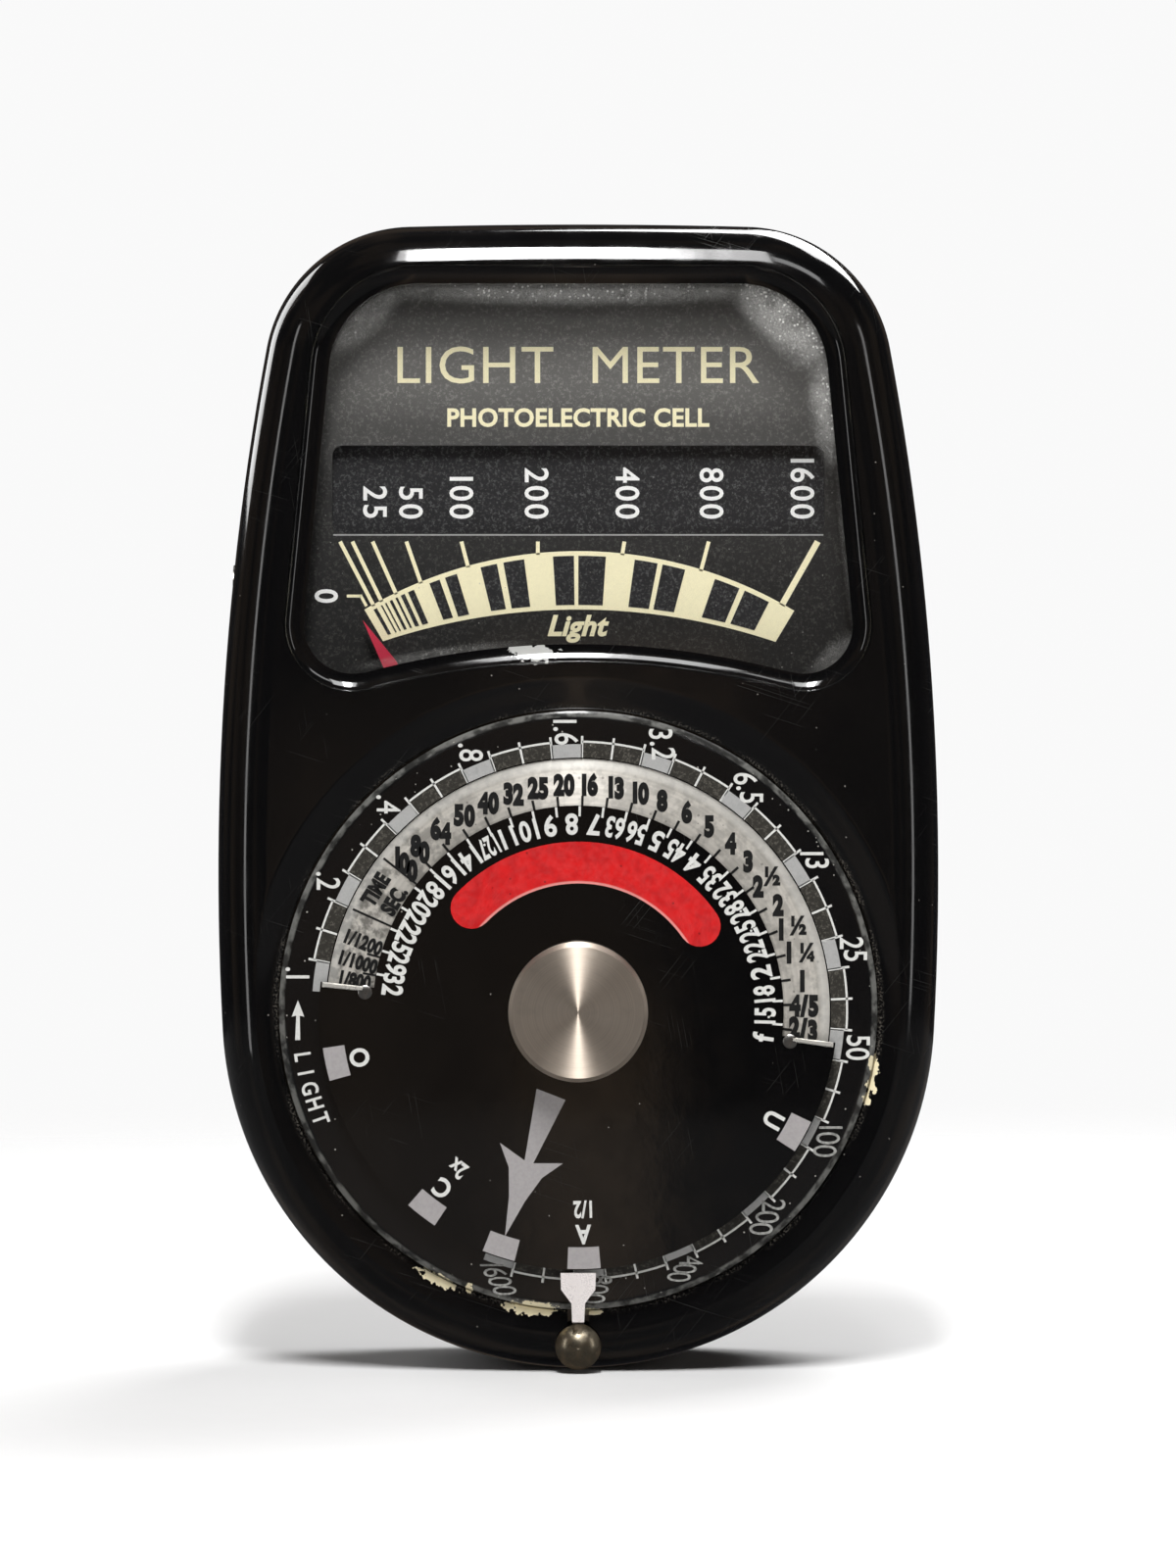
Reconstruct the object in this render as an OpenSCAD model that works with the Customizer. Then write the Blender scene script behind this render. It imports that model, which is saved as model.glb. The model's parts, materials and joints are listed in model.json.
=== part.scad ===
// Hand-held selenium exposure meter: case, light scale, galvanometer, photocell,
// hinged baffle and rotating exposure calculator.
// Everything is drawn in a face-up frame: x to the right, y up the face, z towards the
// viewer, with the calculator's axis at x = 0, y = 0. place() stands it upright.

/* [Case] */
// Half of the greatest width of the case
half_width = 32; // [31.5:0.1:32.5]
// Height of the top edge above the calculator's axis
top_y = 69.6; // [69:0.1:70.2]
// Height of the front face above the seam
face_z = 12.5; // [12.4:0.05:12.7]
// Depth of the back face below the seam
back_z = 12.5; // [12.4:0.05:12.6]
// Thickness of the case walls
wall = 1.8; // [1.6:0.05:1.9]
// How far the rounded edge reaches in over the face
edge_in = 4.6; // [4.2:0.1:4.8]
// How far the rounded edge reaches down the side
edge_down = 5.5; // [5:0.1:5.8]

/* [Calculator] */
// Radius of the recess in the face that holds the calculator
recess_r = 26.5; // [26.5:0.05:26.7]
// Outer radius of the fixed light-value ring
light_r = 26.3; // [26.1:0.05:26.35]
// Outer radius of the turning time ring
time_r = 22.1; // [21.8:0.05:22.15]
// Radius of the exposure disc on its full side
disc_r = 22.7; // [22.5:0.05:22.75]
// Radius of the exposure disc on its cut-away side
disc_cut_r = 18; // [17.6:0.1:18.4]
// Radius of the knob
knob_r = 6.08; // [5.8:0.02:6.4]
// Height of the knob above the exposure disc
knob_h = 3.4; // [3.3:0.05:3.5]

/* [Light scale] */
// Distance of the needle's pivot above the calculator's axis
pivot_y = 3.2; // [3.2:0.05:3.3]
// Length of the needle from pivot to tip
needle_len = 36.6; // [36:0.1:37]
// Angle of the resting needle to the left of upright
needle_rest = 31.5; // [30:0.5:32]
// Distance that the number plate slides between its two rows
number_shift = 7.67; // [7.5:0.01:7.7]

/* [Baffle] */
// Centre height of the round photocell above the calculator's axis
cell_y = 37; // [36.8:0.1:37.2]
// Radius of the photocell
cell_r = 22; // [21.8:0.05:22.1]
// Distance of the baffle's hinge axis from the middle of the case
hinge_x = 28.8; // [28.7:0.02:28.85]
// Thickness of the baffle door
door_t = 1.8; // [1.7:0.05:1.85]
// Radius of each hole in the baffle
baffle_hole_r = 1.25; // [1:0.05:1.4]

/* [Hidden] */

$fn = 64;
eps = 0.01;

// Case outline: arcs that meet tangentially. A wide arc makes each side, a small arc each top
// corner, a nearly flat arc the top and a round arc the lower end.
side_r = 255;
side_y = 12;
corner_r = 13.2;
corner_y = top_y - 13.4;
bottom_y = -0.3;
side_x = side_r - half_width;
bottom_r = side_r - norm([side_x, side_y - bottom_y]);
corner_x = sqrt(pow(side_r - corner_r, 2) - pow(corner_y - side_y, 2)) - side_x;
corner_drop = top_y - corner_y;
top_r = (corner_x * corner_x + corner_drop * corner_drop - corner_r * corner_r)
    / (2 * (corner_drop - corner_r));
bottom_turn = atan2(side_y - bottom_y, side_x);
corner_turn = atan2(corner_y - side_y, corner_x + side_x);
top_turn = atan2(corner_y - top_y + top_r, corner_x);

// Depth stack, from the back to the front
seam_gap = 0.03;
pocket_z = -10.4;
tub_top_z = -8.8;
shelf_z = -9.1;
roof_z = 9.6;
recess_z = 11.2;
number_z = 5.2;
plate_z = 6.2;
plate_t = 0.6;
needle_z = 7.6;
disc_z = 13.25;
disc_t = 0.85;
knob_z = disc_z + disc_t + 0.02;
total_top = knob_z + knob_h;
middle_z = (total_top - back_z) / 2;

// Calculator cut-away, in degrees anticlockwise from the x axis
cut_start = -7;
cut_end = 173.5;

// Red arc on the exposure disc
arc_mid = 13;
arc_half = 1.83;
arc_from = 35;
arc_to = 136;

// Window outline: four corner arcs and a long arch under it
win_top = [14.1, 56.1];
win_top_r = 7.9;
win_low = [19.9, 33.9];
win_low_r = 4.3;
arch_y = -39.4;
arch_r = 71.6;
win_v = win_top - win_low;
win_side = atan2(win_v[1], win_v[0]) - acos((win_low_r - win_top_r) / norm(win_v));
arch_turn = atan2(win_low[1] - arch_y, win_low[0]);

// Number slot in the dial plate
slot_half = 21.9;
slot_low = 42.2;
slot_high = 50;
number_half = 22.9;

// Baffle hinge and door
hinge_z = -11;
barrel_r = 1.5;
pin_r = 0.6;
door_low = 12;
door_inset = 5;
door_side = 25.2;
tab_low = 20.8;
tab_high = 35.2;

// Range lever
lever_x = 25.4;
lever_t = 0.8;
lever_pivot = [46.1, -3.6];
lever_arm = 8;
lever_short = 2.4;
lever_turn = 28.65;
plunger_x = 23.4;
plunger_y = lever_pivot[0] - lever_short + 0.15;

// Film-speed lock
button_y = -29.6;
button_r = 2;

// Zero corrector
zero_y = -5.6;
zero_offset = 0.8;

function turned(r, a) = r * [cos(a), sin(a)];

function arc(c, r, a0, a1, n) = [for (k = [0:n]) c + turned(r, a0 + (a1 - a0) * k / n)];

function outline(inset) = concat(
    arc([-side_x, side_y], side_r - inset, -bottom_turn, corner_turn, 8),
    arc([corner_x, corner_y], corner_r - inset, corner_turn, top_turn, 12),
    arc([0, top_y - top_r], top_r - inset, top_turn, 180 - top_turn, 2),
    arc([-corner_x, corner_y], corner_r - inset, 180 - top_turn, 180 - corner_turn, 12),
    arc([side_x, side_y], side_r - inset, 180 - corner_turn, 180 + bottom_turn, 8),
    arc([0, bottom_y], bottom_r - inset, 180 + bottom_turn, 360 - bottom_turn, 32));

function window_outline(grow) = concat(
    arc(win_top, win_top_r + grow, win_side, 90, 10),
    arc([-win_top[0], win_top[1]], win_top_r + grow, 90, 180 - win_side, 10),
    arc([-win_low[0], win_low[1]], win_low_r + grow, 180 - win_side, 360 - arch_turn, 10),
    arc([0, arch_y], arch_r - grow, 180 - arch_turn, arch_turn, 14),
    arc(win_low, win_low_r + grow, 180 + arch_turn, 360 + win_side, 10));

module place() {
    translate([0, middle_z, bottom_r - bottom_y]) rotate([90, 0, 0]) children();
}

module slab(inset, z0, z1) {
    translate([0, 0, z0]) linear_extrude(z1 - z0) polygon(outline(inset));
}

// A solid of the case outline whose face edge is rounded over edge_in and edge_down
module rounded_slab(inset, z0, z1, over, down) {
    hull() {
        slab(inset, z0, z0 + eps);
        for (t = [0:18:90])
            translate([0, 0, z1 - down + down * sin(t) - eps])
                linear_extrude(eps) polygon(outline(inset + over * (1 - cos(t))));
    }
}

module rod(p, r, z0, z1) {
    translate([p[0], p[1], z0]) cylinder(r = r, h = z1 - z0);
}

module rod_x(x0, x1, y, z, r) {
    translate([x0, y, z]) rotate([0, 90, 0]) cylinder(r = r, h = x1 - x0);
}

module rod_y(y0, y1, x, z, r) {
    translate([x, y0, z]) rotate([-90, 0, 0]) cylinder(r = r, h = y1 - y0);
}

module box(x, y, z) {
    translate([x[0], y[0], z[0]]) cube([x[1] - x[0], y[1] - y[0], z[1] - z[0]]);
}

module ring(p, r_in, r_out, z0, z1) {
    difference() {
        rod(p, r_out, z0, z1);
        rod(p, r_in, z0 - 1, z1 + 1);
    }
}

// A wedge that covers the angles a0 to a1 out to radius r
module wedge(r, a0, a1, z0, z1) {
    translate([0, 0, z0]) linear_extrude(z1 - z0)
        polygon(concat([[0, 0]], arc([0, 0], r, a0, a1, 24)));
}

module window_slab(grow, z0, z1) {
    translate([0, 0, z0]) linear_extrude(z1 - z0) polygon(window_outline(grow));
}

// A closely wound coil spring, drawn as one grooved tube
module coil_tube(r_mid, wire_r, turns, pitch) {
    rotate_extrude($fn = 32) difference() {
        translate([r_mid - wire_r, 0]) square([2 * wire_r, turns * pitch]);
        for (k = [0:turns])
            translate([r_mid + wire_r, k * pitch]) circle(r = wire_r * 0.6, $fn = 16);
    }
}

// Points that carry the dial plate
plate_posts = [[21, 26.4], [-21, 26.4], [21.9, 63.4], [-21.9, 63.4]];
case_screw_points = [[20, -14], [-20, -14]];
movement_points = [[16.2, pivot_y], [-16.2, pivot_y]];
cell_screw_points = [for (a = [90, 210, 330]) [24 * cos(a), cell_y + 24 * sin(a)]];

// ---- Case ----

module case_front() {
    color([0.04, 0.04, 0.045]) place() difference() {
        union() {
            difference() {
                rounded_slab(0, seam_gap, face_z, edge_in, edge_down);
                rounded_slab(wall, -1, roof_z, 3.2, 3.6);
            }
            for (p = plate_posts) rod(p, 1, plate_z + plate_t + 0.05, roof_z + 1);
            for (p = movement_points) rod(p, 2, -6.15, roof_z + 1);
            for (p = case_screw_points) rod(p, 2.2, 0.5, roof_z + 1);
            rod([0, -27.9], 3, 6.5, roof_z + 1);
        }
        window_slab(0, 5, 14);
        window_slab(1.1, 5, 10.95);
        translate([0, 0, recess_z]) cylinder(r = recess_r, h = 4, $fn = 128);
        rod([0, 0], 3.02, 5, 14);
        box([-0.95, 0.95], [-27.9, -26], [8.8, 14]);
        box([-1.3, 1.3], [-31, -26.3], [8.8, 11.4]);
        rod([0, button_y], button_r + 0.1, 11, 14);
        rod([0, button_y], 1.3, 8.2, 12);
        for (p = plate_posts) rod(p, 0.52, 5, 8.6);
        for (p = movement_points) rod(p, 0.82, -7, -1);
        for (p = case_screw_points) rod(p, 0.92, -1, 6);
    }
}

module case_back() {
    color([0.05, 0.05, 0.055]) place() difference() {
        union() {
            difference() {
                mirror([0, 0, 1]) rounded_slab(0, seam_gap, back_z, edge_in, edge_down);
                mirror([0, 0, 1]) rounded_slab(wall, -1, back_z - wall, 3.2, 3.6);
            }
            // Register lip inside the front shell
            difference() {
                slab(wall - 0.3, -1.2, -seam_gap);
                slab(wall + 0.9, -2, 2);
            }
            difference() {
                slab(wall + 0.1, -1, 1);
                slab(wall + 0.9, -2, 2);
            }
            // Tub that carries the baffle door and the photocell
            intersection() {
                slab(3.3, -11, tub_top_z);
                box([-40, 40], [10, 80], [-12, 0]);
            }
            // Hinge shelf and the two fixed knuckles
            intersection() {
                slab(0.02, -12, -7.6);
                box([25, 33], [13, 43], [shelf_z, -7.6]);
            }
            for (y = [[15, 20.5], [35.5, 41]]) {
                rod_y(y[0], y[1], hinge_x, hinge_z, barrel_r);
                box([hinge_x - 1.2, hinge_x + 1.2], y, [hinge_z, -8.9]);
            }
            for (p = case_screw_points) rod(p, 2.6, -11, 0.4);
            for (p = cell_screw_points) rod(p, 1.5, -9, -4.55);
            // Post that the latch spring pushes against
            box([-25.2, -24.4], [35.2, 36.6], [-9, -3.2]);
            box([-25.2, -24.4], [39.4, 40.8], [-9, -3.2]);
            box([-25.2, -24.4], [35.2, 40.8], [-7.2, -3.2]);
            // Boss for the range lever's pin
            rod_x(26.5, 28.6, lever_pivot[0], lever_pivot[1], 1.3);
        }
        // Door pocket, open at the hinge side
        intersection() {
            slab(door_inset - 0.25, -14, pocket_z);
            box([-40, 40], [door_low - 0.3, 80], [-14, pocket_z]);
        }
        difference() {
            box([door_side + 0.3, 34], [14.7, 41.3], [-14, shelf_z]);
            for (y = [[15, 20.5], [35.5, 41]]) {
                rod_y(y[0], y[1], hinge_x, hinge_z, barrel_r);
                box([hinge_x - 1.2, hinge_x + 1.2], y, [hinge_z, -8.9]);
            }
        }
        rod_y(14, 42, hinge_x, hinge_z, pin_r + 0.02);
        rod([0, cell_y], cell_r - 1.5, -14, -8);
        rod([plunger_x, plunger_y], 0.95, -12, -8);
        rod([0, zero_y], 1.45, -14, -8);
        rod([0, zero_y], 2.5, -14, -11.7);
        for (p = case_screw_points) {
            rod(p, 1.1, -14, 2);
            rod(p, 1.9, -14, -11);
        }
        for (p = cell_screw_points) rod(p, 0.62, -7.6, -4);
        rod_x(-33, -28, 38, -4.5, 1.85);
        box([-25.7, -22.2], [36.6, 39.4], [-11, -8]);
        rod_x(25, 28.2, lever_pivot[0], lever_pivot[1], 0.52);
    }
}

module case_screws() {
    color("gray") place() for (p = case_screw_points) difference() {
        union() {
            rod(p, 1.8, -12.3, -11.05);
            rod(p, 0.88, -11.1, 4.5);
        }
        box([p[0] - 2, p[0] + 2], [p[1] - 0.25, p[1] + 0.25], [-13, -11.8]);
    }
}

// ---- Window and light scale ----

module window_glass() {
    color([0.85, 0.9, 0.9, 0.35]) place() window_slab(1, 9.65, 10.9);
}

module window_gasket() {
    color([0.1, 0.1, 0.1]) place() difference() {
        window_slab(1, 8.75, 9.6);
        window_slab(0.15, 8, 11);
    }
}

module dial_plate() {
    color([0.1, 0.1, 0.1]) place() difference() {
        intersection() {
            slab(wall + 0.8, plate_z, plate_z + plate_t);
            box([-40, 40], [24.5, 80], [0, 12]);
        }
        translate([0, 0, plate_z - 1]) linear_extrude(3) number_slot();
        for (p = plate_posts) rod(p, 0.6, 5, 8);
    }
}

// Rounded slot in the dial plate that shows one row of numbers
module number_slot() {
    slot_corner = 0.9;
    translate([-slot_half, slot_low + slot_corner])
        square([2 * slot_half, slot_high - slot_low - 2 * slot_corner]);
    translate([-slot_half + slot_corner, slot_low])
        square([2 * slot_half - 2 * slot_corner, slot_high - slot_low]);
    for (x = [-1, 1], y = [slot_low + slot_corner, slot_high - slot_corner])
        translate([x * (slot_half - slot_corner), y]) circle(r = slot_corner, $fn = 32);
}

module plate_screws() {
    color("gray") place() for (p = plate_posts) {
        rod(p, 1, 5.55, plate_z - 0.02);
        rod(p, 0.5, plate_z - 0.02, 8.4);
    }
}

module number_plate() {
    color([0.07, 0.07, 0.07]) place() difference() {
        union() {
            box([-number_half, number_half], [41.6, 58], [number_z, number_z + 0.6]);
            box([number_half - 1, 25.2], [48.5, 51.5], [number_z, number_z + 0.6]);
            box([24.4, 25.2], [48.5, 51.5], [2, number_z + 0.6]);
        }
        // Slot for the range lever's finger
        box([24, 26], [49.19, 50.69], [1, 5.05]);
    }
}

module number_rails() {
    color("silver") place() {
        rail([-24.3, -23.3], [33, 60], [-24.3, -22.3]);
        rail([23.3, 24.3], [33, 40], [22.3, 24.3]);
        rail([23.3, 24.3], [52.5, 60], [22.3, 24.3]);
    }
}

// An angle strip that guides one edge of the number plate
module rail(x, y, lip_x) {
    box(x, y, [4.6, plate_z - 0.02]);
    box(lip_x, y, [4.6, 4.95]);
}

module needle() {
    half = 0.62;
    tail_a = [135, 225];
    color([0.75, 0.08, 0.12]) place() translate([0, pivot_y, 0]) rotate([0, 0, needle_rest]) {
        ring([0, 0], 0.36, 0.95, 5.1, 5.5);
        box([-0.4, 0.4], [0.8, 10], [5.1, 5.5]);
        box([-0.4, 0.4], [9.4, 10], [5.1, needle_z + 0.4]);
        translate([0, 0, needle_z]) linear_extrude(0.4)
            polygon([[-half, 9.4], [half, 9.4], [half, needle_len - 4.5], [0, needle_len],
                [-half, needle_len - 4.5]]);
        for (a = tail_a) rotate([0, 0, a]) {
            box([-0.25, 0.25], [0.8, 4], [5.1, 5.5]);
            rod([0, 4], 0.6, 4.95, 5.6);
        }
    }
}

module needle_stops() {
    stop_r = 27;
    stop_a = 34.1;
    color("silver") place() for (s = [-1, 1])
        rod([s * stop_r * sin(stop_a), pivot_y + stop_r * cos(stop_a)], 0.35, plate_z + plate_t + 0.02, 8.4);
}

// ---- Galvanometer ----

module magnet() {
    color([0.3, 0.3, 0.32]) place() translate([0, pivot_y, 0]) difference() {
        rod([0, 0], 14, -4.2, 3.8);
        rod([0, 0], 7.6, -5, 5);
        wedge(30, 55, 125, -5, 5);
    }
}

module pole_shoes() {
    color([0.55, 0.55, 0.56]) place() translate([0, pivot_y, 0]) for (a = [0, 180])
        rotate([0, 0, a]) intersection() {
            ring([0, 0], 4.9, 7.55, -4.2, 3.8);
            wedge(12, -50, 50, -5, 5);
        }
}

module coil_core() {
    color([0.6, 0.6, 0.6]) place() rod([0, pivot_y], 3.3, -4.2, 3.8);
}

module core_bracket() {
    color([0.72, 0.6, 0.3]) place() translate([0, pivot_y, 0]) for (s = [0, 180])
        rotate([0, 0, s]) {
            difference() {
                box([-1, 1], [3, 7.2], [-1, 1]);
                rod([0, 0], 3.35, -2, 2);
            }
            box([-1, 1], [6.3, 7.2], [-6.15, 1]);
        }
}

module moving_coil() {
    color([0.7, 0.4, 0.2]) place() translate([0, pivot_y, 0]) rotate([0, 0, needle_rest]) {
        difference() {
            box([-4.45, 4.45], [-0.6, 0.6], [-4.85, 4.85]);
            box([-3.85, 3.85], [-2, 2], [-4.4, 4.35]);
        }
        rod([0, 0], 0.3, 4.85, 6);
        rod([0, 0], 0.3, -6, -4.85);
    }
}

// A flat spiral strip between radii r0 and r1
function spiral(r0, r1, turns, n, w) = [for (k = [0:n])
    (r0 + (r1 - r0) * k / n + w) * [cos(360 * turns * k / n), sin(360 * turns * k / n)]];

function reversed(v) = [for (k = [len(v) - 1:-1:0]) v[k]];

module hairsprings() {
    color([0.8, 0.65, 0.3]) place() translate([0, pivot_y, 0]) for (z = [5.65, -5.95])
        translate([0, 0, z]) linear_extrude(0.3)
            polygon(concat(spiral(0.5, 2.2, 3, 54, 0), reversed(spiral(0.5, 2.2, 3, 54, 0.16))));
}

module movement_base() {
    color([0.75, 0.62, 0.3]) place() difference() {
        union() {
            rod([0, pivot_y], 9.5, -7.2, -6.2);
            box([-18.4, 18.4], [pivot_y - 2.4, pivot_y + 2.4], [-7.2, -6.2]);
            for (s = [-1, 1]) rod([s * 10.8, pivot_y], 2, -6.3, -4.25);
        }
        rod([0, pivot_y], 1.12, -8, -5);
        for (p = movement_points) rod(p, 0.9, -8, -5);
    }
}

module movement_bridge() {
    color([0.75, 0.62, 0.3]) place() difference() {
        union() {
            box([-2.2, 2.2], [-7.2, pivot_y], [6.3, 7]);
            rod([0, pivot_y], 2.2, 6.3, 7);
            box([-2.2, 2.2], [-7.2, -5.4], [3.85, 6.4]);
        }
        rod([0, pivot_y], 1.12, 6, 8);
    }
}

module jewel_screws() {
    color([0.85, 0.75, 0.45]) place() {
        difference() {
            rod([0, pivot_y], 1.1, 6.05, 7.4);
            box([-2, 2], [pivot_y - 0.15, pivot_y + 0.15], [7.1, 8]);
        }
        rod([0, pivot_y], 1.1, -8.7, -6.05);
    }
}

module movement_screws() {
    color("gray") place() for (p = movement_points) {
        rod(p, 1.5, -7.95, -7.22);
        rod(p, 0.78, -7.3, -2.5);
    }
}

module zero_arm() {
    slot_half_w = 0.55;
    color([0.8, 0.65, 0.35]) place() difference() {
        union() {
            rod([0, pivot_y], 2.4, -8.4, -7.8);
            box([-1.3, 1.3], [zero_y - 2.1, pivot_y], [-8.4, -7.8]);
        }
        rod([0, pivot_y], 1.16, -9, -7);
        box([-slot_half_w, slot_half_w], [zero_y - 3, zero_y + 0.3], [-9, -7]);
    }
}

module zero_screw() {
    color("silver") place() difference() {
        union() {
            rod([0, zero_y], 2.4, -12.4, -11.75);
            rod([0, zero_y], 1.4, -11.8, -9);
            rod([0, zero_y - zero_offset], 0.4, -9.1, -7.6);
        }
        box([-3, 3], [zero_y - 0.3, zero_y + 0.3], [-13, -12.05]);
    }
}

// ---- Photocell ----

module cell_glass() {
    color([0.75, 0.8, 0.8, 0.5]) place() {
        rod([0, cell_y], cell_r - 1.6, -10.3, -8.7);
        rod([0, cell_y], cell_r, -8.75, -6.3);
    }
}

module contact_ring() {
    color([0.8, 0.65, 0.3]) place() ring([0, cell_y], cell_r - 2, cell_r, -6.25, -5.9);
}

module selenium_cell() {
    color([0.35, 0.3, 0.32]) place() rod([0, cell_y], cell_r, -5.85, -5.1);
}

module cell_backing() {
    color([0.45, 0.28, 0.15]) place() rod([0, cell_y], cell_r, -5.05, -4.6);
}

module cell_retainer() {
    color("silver") place() difference() {
        union() {
            rod([0, cell_y], cell_r - 1, -4.5, -3.75);
            for (a = [90, 210, 330]) translate([0, cell_y, 0]) rotate([0, 0, a])
                box([17, 25.3], [-2, 2], [-4.5, -3.75]);
        }
        rod([0, cell_y], 15, -6, 0);
        for (p = cell_screw_points) rod(p, 0.7, -6, 0);
    }
}

module cell_screws() {
    color("gray") place() for (p = cell_screw_points) {
        rod(p, 1.3, -3.72, -3);
        rod(p, 0.6, -7.2, -3.7);
    }
}

module cell_leads() {
    color([0.8, 0.45, 0.25]) place() for (s = [-1, 1]) {
        box([s * 2.6 - 0.5, s * 2.6 + 0.5], [11.2, 24], [-3.7, -3.4]);
        box([s * 2.6 - 0.5, s * 2.6 + 0.5], [11.2, 11.5], [-6.15, -3.4]);
    }
}

// ---- Baffle, latch and range change ----

module baffle_door() {
    pitch = 4.4;
    color([0.06, 0.06, 0.065]) place() difference() {
        union() {
            intersection() {
                slab(door_inset, -12.5, -12.5 + door_t);
                box([-40, door_side], [door_low, 80], [-13, -10]);
            }
            box([24, hinge_x], [tab_low, tab_high], [-12.5, -12.5 + door_t]);
            rod_y(tab_low, tab_high, hinge_x, hinge_z, barrel_r);
            box([-25.3, -24.5], [37.2, 38.8], [-10.8, -9]);
        }
        box([hinge_x - 2, hinge_x + 2], [26.2, 29.8], [-14, -8]);
        rod_y(14, 42, hinge_x, hinge_z, pin_r + 0.06);
        // Rows of light holes, each second row offset by half a pitch
        for (row = [-5:5], col = [-5:5]) {
            hx = pitch * (col + (row % 2 == 0 ? 0 : 0.5));
            hy = pitch * row * sin(60);
            if (norm([hx, hy]) < cell_r - 2.6) rod([hx, cell_y + hy], baffle_hole_r, -14, -9);
        }
    }
}

module hinge_pin() {
    color("silver") place() rod_y(15.2, 40.8, hinge_x, hinge_z, pin_r);
}

module hinge_spring() {
    color("gray") place() translate([hinge_x, 26.6, hinge_z]) rotate([-90, 0, 0])
        coil_tube(1.02, 0.28, 5, 0.56);
}

module latch_button() {
    color([0.75, 0.75, 0.77]) place() {
        rod_x(-31.4, -28, 38, -4.5, 1.8);
        box([-28.2, -27.4], [36.5, 39.5], [-8.6, -3]);
        box([-28.2, -23.4], [37, 39], [-8.6, -7.9]);
        box([-24.2, -23.4], [37, 39], [-9.6, -7.9]);
    }
}

module latch_spring() {
    color("gray") place() translate([-27.35, 38, -4.9]) rotate([0, 90, 0])
        coil_tube(1, 0.25, 4, 0.5);
}

module range_plunger() {
    color("silver") place() rod([plunger_x, plunger_y], 0.9, -10.65, -3.1);
}

// The lever turns about its pin: a long arm moves the number plate, a short one meets the plunger
module range_lever() {
    color([0.75, 0.62, 0.35]) place() translate([lever_x, lever_pivot[0], lever_pivot[1]]) difference() {
        rotate([-lever_turn, 0, 0]) {
            rod_x(0, lever_t, 0, 0, 1.2);
            box([0, lever_t], [-0.6, 0.6], [0, lever_arm]);
            rod_x(0, lever_t, 0, lever_arm, 0.6);
            rod_x(-1.2, lever_t, 0, lever_arm, 0.5);
            box([0, lever_t], [-lever_short - 0.4, 0], [-0.6, 0.6]);
            rod_x(-2.8, lever_t, -lever_short, 0, 0.5);
        }
        rod_x(-4, 4, 0, 0, 0.55);
    }
}

module lever_pin() {
    color("silver") place() rod_x(25, 27.9, lever_pivot[0], lever_pivot[1], 0.5);
}

// ---- Exposure calculator ----

module light_ring() {
    color([0.08, 0.08, 0.08]) place() difference() {
        translate([0, 0, recess_z + 0.05]) cylinder(r = light_r, h = 1.75, $fn = 128);
        translate([0, 0, recess_z - 1]) cylinder(r = time_r + 0.25, h = 4, $fn = 128);
        // Chamfer towards the rim
        translate([0, 0, 12.3]) difference() {
            cylinder(r = light_r + 1, h = 2, $fn = 128);
            cylinder(r1 = light_r + 0.01, r2 = light_r - 2, h = 2, $fn = 128);
        }
    }
}

module time_ring() {
    color([0.7, 0.7, 0.7]) place() difference() {
        translate([0, 0, 11.75]) cylinder(r = time_r, h = 1.1, $fn = 128);
        rod([0, 0], 3.06, 11, 14);
    }
}

module exposure_disc() {
    color([0.03, 0.03, 0.03]) place() difference() {
        translate([0, 0, disc_z]) cylinder(r = disc_r, h = disc_t, $fn = 128);
        difference() {
            wedge(40, cut_start, cut_end, 12, 16);
            translate([0, 0, 11]) cylinder(r = disc_cut_r, h = 6, $fn = 128);
        }
        red_groove(0.05, disc_z + 0.35, disc_z + disc_t + 1);
        rod([0, 0], 1.52, 12, 16);
    }
}

// The arc-shaped groove with round ends, widened by gap
module red_groove(gap, z0, z1) {
    half = arc_half + gap;
    translate([0, 0, z0]) linear_extrude(z1 - z0)
        polygon(concat(
            arc([0, 0], arc_mid + half, arc_from, arc_to, 40),
            arc(turned(arc_mid, arc_to), half, arc_to + 15, arc_to + 165, 10),
            arc([0, 0], arc_mid - half, arc_to, arc_from, 40),
            arc(turned(arc_mid, arc_from), half, arc_from + 195, arc_from + 345, 10)));
}

module red_arc() {
    color([0.75, 0.05, 0.04]) place() red_groove(0, disc_z + 0.4, disc_z + disc_t + 0.05);
}

module dial_knob() {
    chamfer = 0.35;
    color([0.7, 0.68, 0.66]) place() difference() {
        union() {
            rod([0, 0], knob_r, knob_z, knob_z + knob_h - chamfer);
            translate([0, 0, knob_z + knob_h - chamfer])
                cylinder(r1 = knob_r, r2 = knob_r - chamfer, h = chamfer);
        }
        rod([0, 0], 1.53, knob_z - 1, knob_z + knob_h - 1);
    }
}

module dial_spindle() {
    color("silver") place() difference() {
        rod([0, 0], 1.5, 7.6, knob_z + knob_h - 1.1);
        ring([0, 0], 1.2, 3, 7.72, 8.18);
    }
}

module dial_bushing() {
    color([0.75, 0.62, 0.3]) place() difference() {
        union() {
            rod([0, 0], 3, 8, 12.9);
            rod([0, 0], 4.4, recess_z + 0.02, 11.7);
        }
        rod([0, 0], 1.56, 7, 14);
    }
}

module bushing_nut() {
    color([0.75, 0.62, 0.3]) place() difference() {
        translate([0, 0, 8.6]) cylinder(r = 5, h = 0.95, $fn = 6);
        rod([0, 0], 3.02, 8, 10);
    }
}

module wave_washer() {
    color("gray") place() ring([0, 0], 3.3, 5.6, 12.95, 13.15);
}

module spindle_clip() {
    color("gray") place() difference() {
        ring([0, 0], 1.24, 2.6, 7.76, 8);
        box([-0.7, 0.7], [0.5, 4], [7, 9]);
    }
}

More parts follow.
